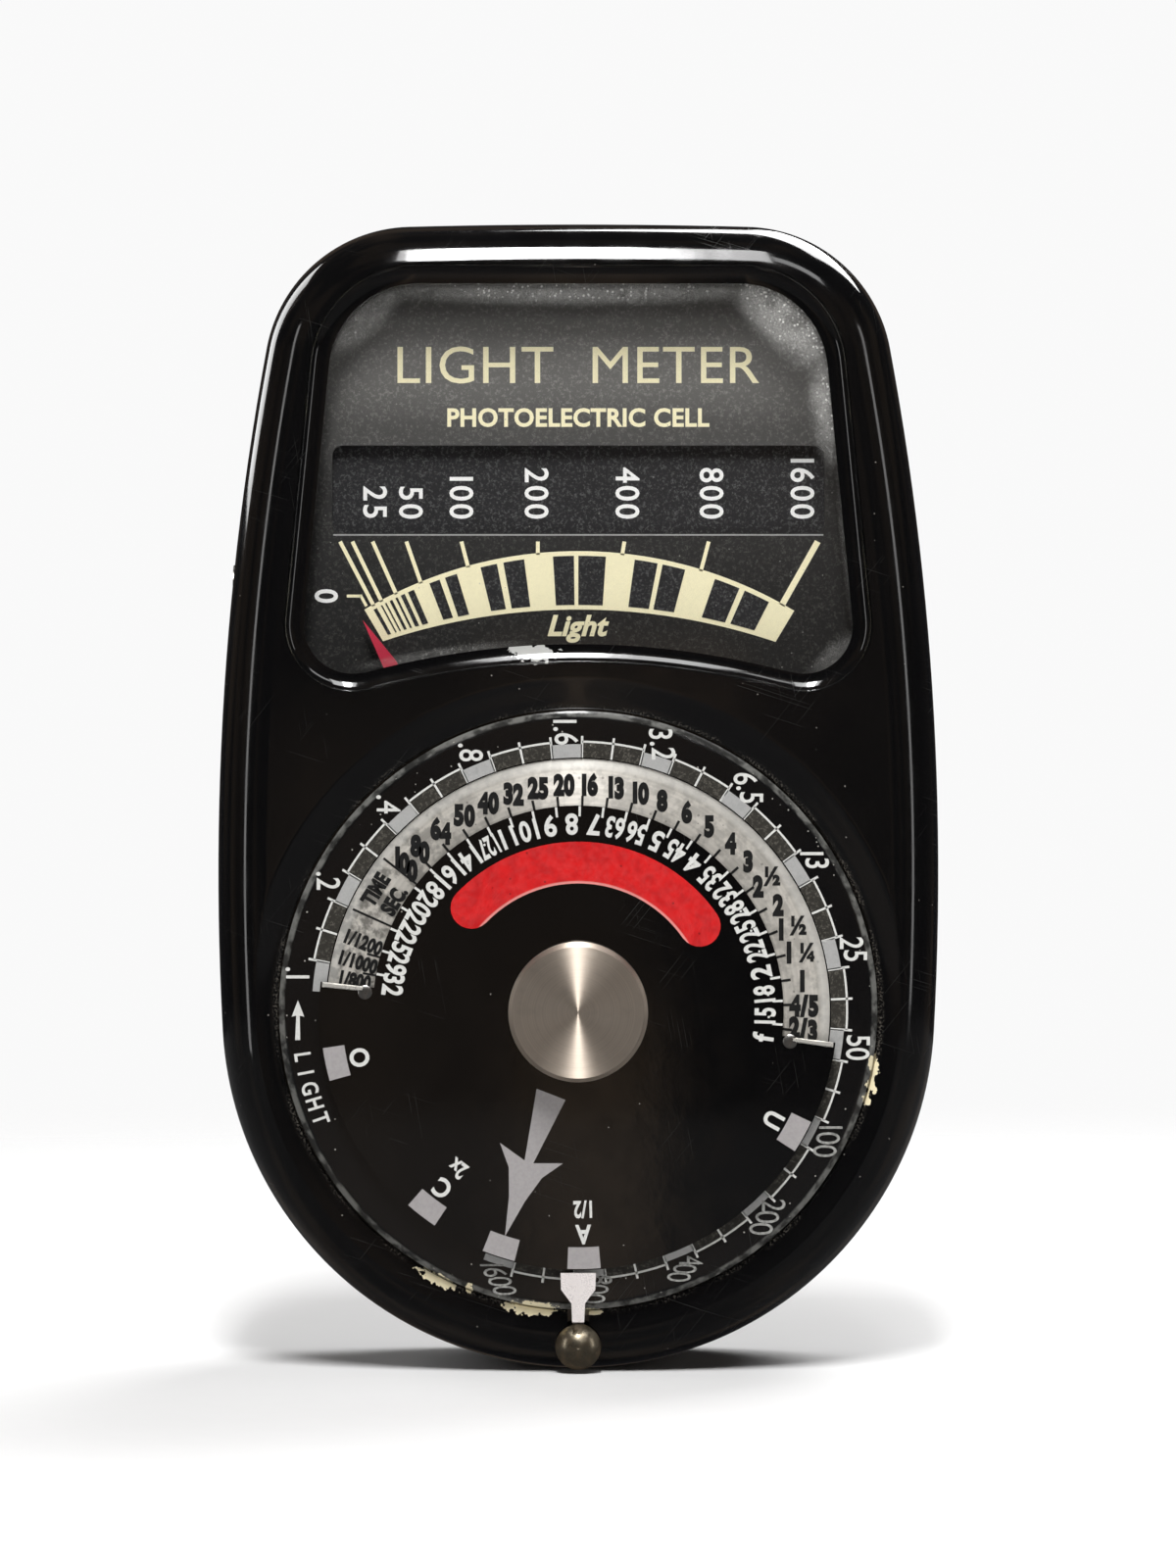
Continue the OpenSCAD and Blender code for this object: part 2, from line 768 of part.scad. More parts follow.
module lock_tongue() {
    color([0.8, 0.8, 0.8]) place() difference() {
        union() {
            translate([0, 0, 13.75]) linear_extrude(0.5)
                polygon([[-1.55, -22.95], [1.55, -22.95], [1.5, -24.4], [0.6, -25.6], [0.53, -27.25],
                    [-0.53, -27.25], [-0.6, -25.6], [-1.5, -24.4]]);
            box([-0.53, 0.53], [-27.25, -26.65], [10.3, 14.25]);
            box([-0.53, 0.53], [-30.3, -26.65], [10.3, 10.9]);
            rod([0, button_y], 1.1, 10.3, 10.9);
        }
        rod([0, button_y], 0.62, 9, 12);
    }
}

module lock_button() {
    dome = 1.1;
    dome_r = (button_r * button_r + dome * dome) / (2 * dome);
    color([0.72, 0.66, 0.5]) place() {
        rod([0, button_y], button_r, 11.75, 12.6);
        intersection() {
            translate([0, button_y, 12.6 + dome - dome_r]) sphere(r = dome_r);
            rod([0, button_y], button_r, 12.55, 15);
        }
        rod([0, button_y], 1, 10.95, 11.8);
        rod([0, button_y], 0.6, 10.2, 11.8);
    }
}

module lock_spring() {
    color("gray") place() translate([0, button_y, 8.25]) coil_tube(0.85, 0.2, 4, 0.46);
}

case_front();
case_back();
case_screws();
window_glass();
window_gasket();
dial_plate();
plate_screws();
number_plate();
number_rails();
needle();
needle_stops();
magnet();
pole_shoes();
coil_core();
core_bracket();
moving_coil();
hairsprings();
movement_base();
movement_bridge();
jewel_screws();
movement_screws();
zero_arm();
zero_screw();
cell_glass();
contact_ring();
selenium_cell();
cell_backing();
cell_retainer();
cell_screws();
cell_leads();
baffle_door();
hinge_pin();
hinge_spring();
latch_button();
latch_spring();
range_plunger();
range_lever();
lever_pin();
light_ring();
time_ring();
exposure_disc();
red_arc();
dial_knob();
dial_spindle();
dial_bushing();
bushing_nut();
wave_washer();
spindle_clip();
lock_tongue();
lock_button();
lock_spring();
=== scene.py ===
"""Looks for the hand-held selenium light meter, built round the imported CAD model.

Shapes are made in the same face-up frame as the CAD source, in millimetres: x to the right,
y up the face, z out of the face, with the calculator's axis at x = 0, y = 0. stand() turns
them upright, into metres in the row frame. Angles are in degrees.
"""
import json
from math import acos, atan2, cos, degrees, floor, hypot, pi, radians, sin, sqrt

import bmesh
import bpy
from mathutils import Matrix, Vector

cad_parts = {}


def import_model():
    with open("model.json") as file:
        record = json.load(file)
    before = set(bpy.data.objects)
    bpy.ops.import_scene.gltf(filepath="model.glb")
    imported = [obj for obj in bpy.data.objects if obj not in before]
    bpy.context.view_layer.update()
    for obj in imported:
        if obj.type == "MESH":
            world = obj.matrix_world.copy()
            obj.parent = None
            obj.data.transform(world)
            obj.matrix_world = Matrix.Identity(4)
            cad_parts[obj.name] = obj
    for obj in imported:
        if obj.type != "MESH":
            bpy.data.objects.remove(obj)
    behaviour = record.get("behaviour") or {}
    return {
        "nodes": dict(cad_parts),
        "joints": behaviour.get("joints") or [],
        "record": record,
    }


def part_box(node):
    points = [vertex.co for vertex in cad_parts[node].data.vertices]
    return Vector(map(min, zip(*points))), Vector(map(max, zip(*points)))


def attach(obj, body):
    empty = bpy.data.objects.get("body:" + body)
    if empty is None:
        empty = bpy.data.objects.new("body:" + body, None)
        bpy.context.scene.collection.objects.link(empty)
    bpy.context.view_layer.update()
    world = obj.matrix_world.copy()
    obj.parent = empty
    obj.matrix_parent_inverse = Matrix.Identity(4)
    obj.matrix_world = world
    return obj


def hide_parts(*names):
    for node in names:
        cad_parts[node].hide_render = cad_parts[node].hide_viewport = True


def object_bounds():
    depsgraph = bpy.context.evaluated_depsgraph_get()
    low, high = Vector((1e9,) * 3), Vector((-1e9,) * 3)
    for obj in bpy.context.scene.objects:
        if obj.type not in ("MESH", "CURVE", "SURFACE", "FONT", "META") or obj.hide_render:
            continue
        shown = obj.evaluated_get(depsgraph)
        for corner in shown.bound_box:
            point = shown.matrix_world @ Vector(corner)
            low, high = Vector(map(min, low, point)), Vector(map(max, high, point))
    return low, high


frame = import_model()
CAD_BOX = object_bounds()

MM = 0.001


# ---- Sizes, in millimetres: the driving dimensions of the CAD source ----

FACE, BACK = 12.5, -12.5
DIAL = Vector(next(j for j in frame["joints"] if j["name"] == "calculator_turn")["pos_m"]) / MM
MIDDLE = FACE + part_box("case_front")[0].y / MM
STAND = (Matrix.Translation((0, MIDDLE * MM, DIAL.z * MM)) @ Matrix.Rotation(pi / 2, 4, "X")
         @ Matrix.Scale(MM, 4))

# Case
HALF_WIDTH = 32
TOP = 69.6
WALL = 1.8
EDGE_IN, EDGE_DOWN = 4.6, 5.5
INNER_IN, INNER_DOWN = 3.2, 3.6
ROOF = 9.6
SEAM, SEAM_BEVEL = 0.03, 0.15
SIDE_R, SIDE_Y = 255, 12
CORNER_R = 13.2
CORNER_Y = TOP - 13.4
BOTTOM_Y = -0.3
SIDE_X = SIDE_R - HALF_WIDTH
BOTTOM_R = SIDE_R - hypot(SIDE_X, SIDE_Y - BOTTOM_Y)
CORNER_X = sqrt((SIDE_R - CORNER_R) ** 2 - (CORNER_Y - SIDE_Y) ** 2) - SIDE_X
CORNER_DROP = TOP - CORNER_Y
TOP_R = (CORNER_X ** 2 + CORNER_DROP ** 2 - CORNER_R ** 2) / (2 * (CORNER_DROP - CORNER_R))

# Window, the cove round it and the seat of its glass
WIN_TOP, WIN_TOP_R = (14.1, 56.1), 7.9
WIN_LOW, WIN_LOW_R = (19.9, 33.9), 4.3
ARCH_Y, ARCH_R = -39.4, 71.6
COVE_WIDE, COVE_DEEP = 1.7, 1.2
SEAT_WIDE, SEAT_TOP = 1.1, 10.95

# Calculator's recess, with the boss, slot and bore of the film-speed lock below it
RECESS_R, RECESS_Z = 26.5, 11.2
DISH_R, DISH_DEEP, DISH_LIP = 29.3, 0.6, 0.15
BOSS_Y, BOSS_R, BOSS_LOW = -27.9, 3, 8.5
TONGUE_HALF, TONGUE_END = 0.95, -25
BUTTON_Y, BUTTON_R = -29.6, 2

# Printed faces: height, body and material slot
DISC_TOP = 14.1
LIGHT_FACE = (13, "case", "light_ring")
TIME_FACE = (12.85, "speed_ring", "time_ring")
DISC_FACE = (DISC_TOP, "calculator_disc", "exposure_disc")
PLATE_FACE = (6.8, "case", "scale_plate")
NUMBER_FACE = (5.8, "number_slide", "number_plate")

# Light scale
PIVOT = (0, 3.2)
SLOT_LOW = 42.2
NUMBER_SHIFT = 7.67

# Back
CELL_Y, CELL_R = 37, 22
ZERO_Y, ZERO_R = -5.6, 2.5
SCREWS, SCREW_R = [(20, -14), (-20, -14)], 1.9
HINGE_X, HINGE_Z, BARREL_R = 28.8, -11, 1.5
KNUCKLES = [(15, 20.5), (35.5, 41)]
KNUCKLE_GAP, WEB_HALF = 0.3, 1.2
DOOR_LOW, DOOR_INSET, DOOR_SIDE = 12, 5, 25.2
POCKET_Z, SHELF_Z, TUB_TOP, TUB_LOW = -10.4, -9.1, -8.8, -11
TUB_INSET, TUB_Y = 3.26, 10
SHELF_X, SHELF_Y, SHELF_TOP = 25, (13, 43), -7.6
PLUNGER, PLUNGER_R = (23.4, 43.85), 0.95
CATCH_SLOT = (-25.7, -22.2, 36.6, 39.4)
LATCH_Y, LATCH_Z, LATCH_R = 38, -4.5, 1.85
LENS_BACK, LENS_STEP, LENS_FRONT = -6.3, -8.75, -10.3
LENS_PITCH, LENS_RISE, LENS_RIM = 3, 0.42, CELL_R - 1.6

PRINT_T = 0.05      # thickness of a printed or filled mark
PRINT_SINK = 0.02   # how far it sits in the surface under it
PAST = 2            # how far a cutting tool stands past the surface it cuts


# ---- Outlines ----

def turned(r, angle):
    a = radians(angle)
    return (r * cos(a), r * sin(a))


def arc(centre, r, a0, a1, n, last=False):
    """Points on an arc from a0 to a1 degrees. The last point is left out unless last is true."""
    steps = n + 1 if last else n
    points = [turned(r, a0 + (a1 - a0) * k / n) for k in range(steps)]
    return [(centre[0] + x, centre[1] + y) for x, y in points]


def turn_to(y, x):
    return degrees(atan2(y, x))


BOTTOM_TURN = turn_to(SIDE_Y - BOTTOM_Y, SIDE_X)
CORNER_TURN = turn_to(CORNER_Y - SIDE_Y, CORNER_X + SIDE_X)
TOP_TURN = turn_to(CORNER_Y - TOP + TOP_R, CORNER_X)


def outline(inset):
    """The case's outline, anticlockwise, inset by some millimetres."""
    return (arc((-SIDE_X, SIDE_Y), SIDE_R - inset, -BOTTOM_TURN, CORNER_TURN, 24)
            + arc((CORNER_X, CORNER_Y), CORNER_R - inset, CORNER_TURN, TOP_TURN, 32)
            + arc((0, TOP - TOP_R), TOP_R - inset, TOP_TURN, 180 - TOP_TURN, 12)
            + arc((-CORNER_X, CORNER_Y), CORNER_R - inset, 180 - TOP_TURN, 180 - CORNER_TURN, 32)
            + arc((SIDE_X, SIDE_Y), SIDE_R - inset, 180 - CORNER_TURN, 180 + BOTTOM_TURN, 24)
            + arc((0, BOTTOM_Y), BOTTOM_R - inset, 180 + BOTTOM_TURN, 360 - BOTTOM_TURN, 96))


WIN_V = (WIN_TOP[0] - WIN_LOW[0], WIN_TOP[1] - WIN_LOW[1])
WIN_SIDE = (turn_to(WIN_V[1], WIN_V[0])
            - degrees(acos((WIN_LOW_R - WIN_TOP_R) / hypot(*WIN_V))))
ARCH_TURN = turn_to(WIN_LOW[1] - ARCH_Y, WIN_LOW[0])


def window_outline(grow):
    """The window's outline, anticlockwise, grown by some millimetres."""
    top_left, low_left = (-WIN_TOP[0], WIN_TOP[1]), (-WIN_LOW[0], WIN_LOW[1])
    return (arc(WIN_TOP, WIN_TOP_R + grow, WIN_SIDE, 90, 24)
            + arc(top_left, WIN_TOP_R + grow, 90, 180 - WIN_SIDE, 24, last=True)
            + arc(low_left, WIN_LOW_R + grow, 180 - WIN_SIDE, 360 - ARCH_TURN, 24)
            + arc((0, ARCH_Y), ARCH_R - grow, 180 - ARCH_TURN, ARCH_TURN, 40)
            + arc(WIN_LOW, WIN_LOW_R + grow, 180 + ARCH_TURN, 360 + WIN_SIDE, 24, last=True))


def clip(points, axis, limit, keep_above):
    """The part of an outline on one side of a line."""
    sign = 1 if keep_above else -1
    kept = []
    for k, here in enumerate(points):
        before = points[k - 1]
        d0, d1 = sign * (before[axis] - limit), sign * (here[axis] - limit)
        if d0 * d1 < 0:
            t = d0 / (d0 - d1)
            kept.append(tuple(before[i] + (here[i] - before[i]) * t for i in range(2)))
        if d1 >= 0:
            kept.append(here)
    return kept


def box_outline(x0, x1, y0, y1):
    return [(x0, y0), (x1, y0), (x1, y1), (x0, y1)]


def circle(centre, r, n=64):
    return arc(centre, r, 0, 360, n)


def sector(r0, r1, a0, a1, n=6):
    """A block between two radii and two angles about the dial's axis, anticlockwise."""
    return arc((0, 0), r1, a0, a1, n, last=True) + arc((0, 0), r0, a1, a0, n, last=True)


def tick(r0, r1, angle, half_width, at, n=1):
    """A stroke that points at the dial's axis. Its half width holds at radius at."""
    half = degrees(half_width / at)
    return sector(r0, r1, angle - half, angle + half, n)


def bar(start, end, width):
    """A straight stroke of some width."""
    a, b = Vector(start), Vector(end)
    side = (b - a).normalized().orthogonal() * width / 2
    return [tuple(p) for p in (a - side, b - side, b + side, a + side)][::-1]


# ---- Meshes ----

def loft(rings):
    """Vertices and faces of a closed skin through rings of equally many points."""
    n = len(rings[0])
    verts = [p for ring in rings for p in ring]
    faces = [(i * n + k, i * n + (k + 1) % n, (i + 1) * n + (k + 1) % n, (i + 1) * n + k)
             for i in range(len(rings) - 1) for k in range(n)]
    faces.append(tuple(range(n - 1, -1, -1)))
    faces.append(tuple(range((len(rings) - 1) * n, len(rings) * n)))
    return verts, faces


def level(points, z):
    return [(x, y, z) for x, y in points]


def prism(points, z0, z1):
    return loft([level(points, z0), level(points, z1)])


def lathe(profile, centre=(0, 0), n=96):
    """A solid turned about z through (r, z) points, from the lowest to the highest."""
    return loft([level(circle(centre, r, n), z) for r, z in profile])


def area(points):
    return sum(points[k - 1][0] * p[1] - p[0] * points[k - 1][1] for k, p in enumerate(points)) / 2


def add_object(name, data):
    thing = bpy.data.objects.new(name, data)
    bpy.context.scene.collection.objects.link(thing)
    return thing


def make(name, parts):
    """One object in millimetres from a list of (vertices, faces)."""
    verts, faces = [], []
    for v, f in parts:
        base = len(verts)
        verts += v
        faces += [tuple(i + base for i in face) for face in f]
    mesh = bpy.data.meshes.new(name)
    mesh.from_pydata(verts, [], faces)
    mesh.update()
    return add_object(name, mesh)


def baked(thing):
    graph = bpy.context.evaluated_depsgraph_get()
    return bpy.data.meshes.new_from_object(thing.evaluated_get(graph))


def settle(piece):
    """Turns a piece's modifiers into its mesh."""
    mesh = baked(piece)
    piece.modifiers.clear()
    piece.data = mesh


def cut(*solids):
    return "DIFFERENCE", solids


def joined(*solids):
    return "UNION", solids


def carve(piece, *steps):
    """Cuts with or adds closed solids, in order. A step comes from cut() or joined()."""
    tools = []
    for operation, solids in steps:
        tool = make("tool", solids)
        change = piece.modifiers.new("cut", "BOOLEAN")
        change.operation, change.solver, change.object = operation, "EXACT", tool
        tools.append(tool)
    settle(piece)
    for tool in tools:
        bpy.data.objects.remove(tool)


def shade(piece, sharp=35):
    """Smooth shading with hard edges, weighted by face size so that flats stay flat."""
    piece.data.shade_smooth()
    piece.data.set_sharp_from_angle(angle=radians(sharp))
    weigh = piece.modifiers.new("weigh", "WEIGHTED_NORMAL")
    weigh.keep_sharp = True
    settle(piece)


def stand(piece, body, slot, finish=None, replaces=()):
    """Puts a piece made in millimetres upright on its body and gives it its finish."""
    piece.data.transform(STAND)
    piece.data.materials.clear()
    piece.data.materials.append(MATERIALS[finish or slot])
    if replaces:
        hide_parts(*replaces)
    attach(piece, body)


def marks(name, outlines, face, finish, lift=0):
    """Thin filled marks, printed on a face."""
    low = face[0] + lift - PRINT_SINK
    solids = [prism(p if area(p) > 0 else p[::-1], low, low + PRINT_T) for p in outlines]
    stand(make(name, solids), *face[1:], finish)


# ---- Lettering ----

FIGURE = 0.7                                # height of a figure in the font, at size 1
LETTER_T = PRINT_T * (FIGURE + 2 * 0.012)   # thickness of lettering, before letter() scales it
WELD = 1e-4
LETTERS = {}


def letter(text, weight, slant=0):
    """A mesh of some characters, 1 high for a figure, and centred."""
    key = (text, weight, slant)
    if key in LETTERS:
        return LETTERS[key]
    curve = bpy.data.curves.new("letter", "FONT")
    curve.body, curve.offset, curve.shear = text, weight, slant
    curve.resolution_u, curve.extrude, curve.space_character = 4, 0.5, 1.04
    source = add_object("letter", curve)
    bpy.context.view_layer.update()
    mesh = baked(source)
    bpy.data.objects.remove(source)
    solid = bmesh.new()
    solid.from_mesh(mesh)
    bmesh.ops.remove_doubles(solid, verts=solid.verts, dist=WELD)
    bmesh.ops.delete(solid, geom=[v for v in solid.verts if not v.link_faces], context="VERTS")
    solid.to_mesh(mesh)
    solid.free()
    mesh.shade_flat()
    across = [v.co.x for v in mesh.vertices]
    mesh.transform(Matrix.Scale(1 / (FIGURE + 2 * weight), 4)
                   @ Matrix.Translation((-(min(across) + max(across)) / 2, -FIGURE / 2, 0)))
    LETTERS[key] = mesh
    return mesh


def lettering(name, labels, face, finish):
    """Labels joined in one piece, printed on a face.

    A label is (text, x, y, turn, height, narrow, weight) and may end with a slant.
    """
    together = bmesh.new()
    for text, x, y, turn, height, narrow, *style in labels:
        copy = letter(text, *style).copy()
        copy.transform(Matrix.Translation((x, y, face[0] - PRINT_SINK + PRINT_T / 2))
                       @ Matrix.Rotation(radians(turn), 4, "Z")
                       @ Matrix.Diagonal((height * narrow, height, LETTER_T, 1)))
        together.from_mesh(copy)
        bpy.data.meshes.remove(copy)
    mesh = bpy.data.meshes.new(name)
    together.to_mesh(mesh)
    together.free()
    stand(add_object(name, mesh), *face[1:], finish)


def on_ring(text, r, angle, turn, height, narrow, weight):
    """A label centred on a point of a ring."""
    return (text, *turned(r, angle), turn, height, narrow, weight)


def staggered(text, r, angle, lean, turn, height, narrow, pitch, weight):
    """One label per figure, stepped along a line through a point on a ring.

    lean is the direction of the line, turn that of each figure. A point is a small bullet.
    """
    steps = [{".": 0.5, "1": 0.66, "/": 0.8}.get(c, 1) for c in text]
    total = sum(steps)
    centre = turned(r, angle)
    along = turned(1, lean)
    labels, reach = [], 0
    for c, step in zip(text, steps):
        t = (reach + step / 2 - total / 2) * pitch
        reach += step
        x, y = centre[0] + along[0] * t, centre[1] + along[1] * t
        if c == ".":
            low = turned(height * 0.42, turn - 90)
            labels.append(("•", x + low[0], y + low[1], turn, height * 0.55, narrow, weight))
        else:
            labels.append((c, x, y, turn, height, narrow, weight))
    return labels


# ---- Materials ----

def scaled(color, factor):
    return tuple(c * factor for c in color)


MATERIALS = {}      # by name: a slot of the record, or an ink


class Nodes:
    """Short ways to add shader nodes to a tree."""

    def __init__(self, tree):
        self.tree = tree
        tree.nodes.clear()

    def node(self, kind, inputs=None, **settings):
        node = self.tree.nodes.new("ShaderNode" + kind)
        for key, value in settings.items():
            setattr(node, key, value)
        for key, value in (inputs or {}).items():
            if isinstance(value, bpy.types.NodeSocket):
                self.link(value, node.inputs[key])
            else:
                node.inputs[key].default_value = value
        return node

    def add(self, *args, **settings):
        """Adds a node and returns its outputs."""
        return self.node(*args, **settings).outputs

    def link(self, source, target):
        self.tree.links.new(source, target)

    def math(self, operation, a, b):
        return self.add("Math", {0: a, 1: b}, operation=operation)[0]

    def times(self, a, b):
        return self.math("MULTIPLY", a, b)

    def larger(self, a, b):
        return self.math("MAXIMUM", a, b)

    def ramp(self, value, low, high, out_low=0, out_high=1, smooth=True):
        return self.add("MapRange", {
            "Value": value, "From Min": low, "From Max": high, "To Min": out_low,
            "To Max": out_high}, interpolation_type="SMOOTHSTEP" if smooth else "LINEAR")[0]

    def band(self, value, low, high, soft):
        rise = self.ramp(value, low - soft, low + soft)
        fall = self.ramp(value, high - soft, high + soft, 1, 0)
        return self.times(rise, fall)

    def mix(self, factor, a, b):
        def color(c):
            return c if isinstance(c, bpy.types.NodeSocket) else (*c, 1)
        return self.add("Mix", {"Factor": factor, 6: color(a), 7: color(b)},
                        data_type="RGBA")[2]

    def over(self, tone, mask, amount, color):
        """A tone with a colour laid over it where the mask is, as far as amount."""
        return self.mix(self.times(mask, amount), tone, color)

    def cloud(self, vector, scale, detail, rough=0.5):
        return self.add("TexNoise", {"Vector": vector, "Scale": scale, "Detail": detail,
                                     "Roughness": rough})["Fac"]

    def blend(self, share, a, b):
        return self.add("MixShader", {0: share, 1: a, 2: b})[0]

    def axes(self, vector):
        return self.add("SeparateXYZ", {0: vector})

    def vectors(self, operation, *inputs):
        return self.add("VectorMath", dict(enumerate(inputs)), operation=operation)

    def length(self, vector):
        return self.vectors("LENGTH", vector)["Value"]


class Finish(Nodes):
    """A procedural material: a Principled shader and the patterns that drive it.

    Lengths are in millimetres, except place, the object coordinates, which is in metres.
    """

    def __init__(self, name, rough=0.5, metal=0, **constants):
        self.material = MATERIALS[name] = bpy.data.materials.new(name)
        self.material.use_nodes = True
        super().__init__(self.material.node_tree)
        self.shader = self.node("BsdfPrincipled")
        self.output = self.node("OutputMaterial")
        self.show(self.shader.outputs[0])
        for key, value in {"roughness": rough, "metallic": metal, **constants}.items():
            self.socket(key).default_value = value
        self.place = self.add("TexCoord")["Object"]

    def show(self, shader):
        self.link(shader, self.output.inputs[0])

    def socket(self, key):
        return self.shader.inputs[key.replace("_", " ").title().replace("Ior", "IOR")]

    def set(self, **sockets):
        for key, value in sockets.items():
            self.link(value, self.socket(key))

    def noise(self, size, detail=2, vector=None, rough=0.55):
        """Noise from 0 to 1 with features about size across."""
        return self.cloud(vector or self.place, 1 / (size * MM), detail, rough)

    def patches(self, size, detail, *ramp, **options):
        """Noise with its contrast raised by ramp()."""
        return self.ramp(self.noise(size, detail), *ramp, **options)

    def specks(self, spacing, size, share):
        """Small scattered dots: their spacing and radius, and the share of cells with one."""
        cells = self.add("TexVoronoi", {
            "Vector": self.place, "Scale": 1 / (spacing * MM)})
        near = self.math("LESS_THAN", cells["Distance"], size / spacing)
        lot = self.add("SeparateColor", {0: cells["Color"]})[0]
        return self.times(near, self.math("LESS_THAN", lot, share))

    def laid(self, middle, turn, size):
        """Coordinates in a box on the face, turned by some radians. All in metres."""
        return self.add("Mapping", {
            "Vector": self.place, "Location": middle, "Rotation": (0, turn, 0), "Scale": size},
            vector_type="TEXTURE")[0]

    def scratches(self, turn, length=14):
        """Fine straight lines in one direction over the face."""
        width, least = 0.05, 0.72
        size = (length * MM, length * MM, width * MM)
        line = self.cloud(self.laid((0, 0, 0), radians(turn), size), 1, 1)
        return self.times(self.ramp(line, least, least + 0.05),
                          self.patches(9, 1, 0.52, 0.64))

    def from_dial(self):
        """Distance from the calculator's axis."""
        moved = self.vectors("SUBTRACT", self.place, (0, 0, DIAL.z * MM))[0]
        return self.length(self.vectors("MULTIPLY", moved, (1 / MM, 0, 1 / MM))[0])

    def dial_rings(self, scale, detail):
        """Noise drawn out round the dial, as a lathe leaves it."""
        spoke = self.add("CombineXYZ", {0: self.from_dial()})[0]
        return self.cloud(spoke, scale, detail)

    def grain_round_dial(self):
        """Lays an anisotropic gloss round the dial's axis, which gives it a bow tie of light."""
        tangent = self.add("Tangent", direction_type="RADIAL", axis="Y")[0]
        self.set(tangent=tangent)

    def spot(self, x, y, a, b, turn):
        """Reach from the middle of an ellipse on the face: half length a, half width b, edge 1."""
        any_depth = 1e3
        middle = (x * MM, 0, (y + DIAL.z) * MM)
        return self.length(self.laid(middle, -radians(turn), (a * MM, any_depth, b * MM)))

    def flakes(self, spots):
        """Ragged patches on the face. A spot is (x, y, half length, half width, turn)."""
        ragged = self.patches(0.5, 3, 0.2, 0.8, -0.75, 0.75, smooth=False)
        masks = [self.math("LESS_THAN", self.math("ADD", self.spot(*spot), ragged), 1)
                 for spot in spots]
        total = masks[0]
        for mask in masks[1:]:
            total = self.larger(total, mask)
        return total

    def cover(self, tone, roughness, height, depth, strength):
        """Sets colour, roughness and relief of some depth."""
        relief = self.add("Bump", {
            "Height": height, "Distance": depth * MM, "Strength": strength})[0]
        self.set(base_color=tone, roughness=roughness, normal=relief)


LIGHT_RIM = (25.8, 26.5)
TIME_RIM = (21.3, 23)
ARC_RIM = (11, 11.38)


def enamel(name, base=0.003, rough=0.09, scuffs=0.25, chips=(), rim_dust=False, rim_wear_and_highlight=False):
    """Glossy black stove enamel with faint scratches, dust and chips."""
    f = Finish(name, coat_weight=0.3, coat_roughness=0.05)
    tone = f.mix(f.noise(6, 4), (base, base, base * 1.1), (base * 1.8, base * 1.7, base * 1.7))
    lines = f.larger(f.scratches(18), f.larger(f.scratches(-52), f.scratches(80, 9)))
    dust = f.specks(1.3, 0.06, 0.16)
    tone = f.over(tone, lines, scuffs, (0.11, 0.11, 0.1))
    tone = f.over(tone, dust, 0.8, (0.36, 0.34, 0.31))
    if rim_dust:
        ring = f.band(f.from_dial(), RECESS_R - 0.1, RECESS_R + 0.3, 0.25)
        lint = f.times(f.patches(0.2, 4, 0.45, 0.7), f.patches(5, 2, 0.4, 0.6))
        tone = f.over(tone, f.times(ring, lint), 0.55, (0.22, 0.2, 0.17))
    if rim_wear_and_highlight:
        # Pale band round the ring's chamfered rim: partly rubbed wear, partly a painted highlight
        # along the chamfer.
        wear = f.patches(1.5, 4, 0.4, 0.6, 0.08, 0.5)
        tone = f.over(tone, f.band(f.from_dial(), *LIGHT_RIM, 0.12), wear, (0.3, 0.3, 0.28))
        tone = f.over(tone, f.specks(0.8, 0.07, 0.35), 0.8, (0.45, 0.44, 0.4))
    for spots, color in chips:
        tone = f.mix(f.flakes(spots), tone, color)
    clean = f.patches(3, 3, 0.3, 0.8, rough * 0.7, rough * 1.6)
    rough = f.math("ADD", clean, f.times(f.larger(lines, dust), 0.35))
    f.cover(tone, rough, f.noise(1.6, 2), 0.006, 0.5)


def metal(name, color, rough=0.3, metallic=1, grain=(1, 1, 1), spots=0.3, dark=0.55):
    """Worn metal: a grain that may be stretched, with tarnish in patches."""
    f = Finish(name, metal=metallic)
    drawn_out = f.add("Mapping", {"Vector": f.place, "Scale": grain})[0]
    lines = f.noise(0.12, 3, drawn_out)
    tarnish = f.patches(1.4, 4, 0.45, 0.75)
    tone = f.over(color, tarnish, spots, scaled(color, dark))
    tone = f.mix(f.ramp(lines, 0.35, 0.75, 0, 0.25), tone, scaled(color, 0.6))
    rough = f.ramp(f.math("ADD", lines, tarnish), 0.3, 1.6, rough * 0.75, rough * 1.5)
    f.cover(tone, rough, lines, 0.004, 0.4)


def paint(name, color, rough=0.5, wear=0.25, dark=0.6, grain=0.25):
    """A printed or filled mark, a little uneven and rubbed."""
    f = Finish(name)
    patches = f.patches(grain, 3, 0.35, 0.7)
    tone = f.over(color, patches, wear, scaled(color, dark))
    f.cover(tone, f.ramp(patches, 0, 1, rough * 0.8, rough * 1.2), patches, 0.004, 0.4)


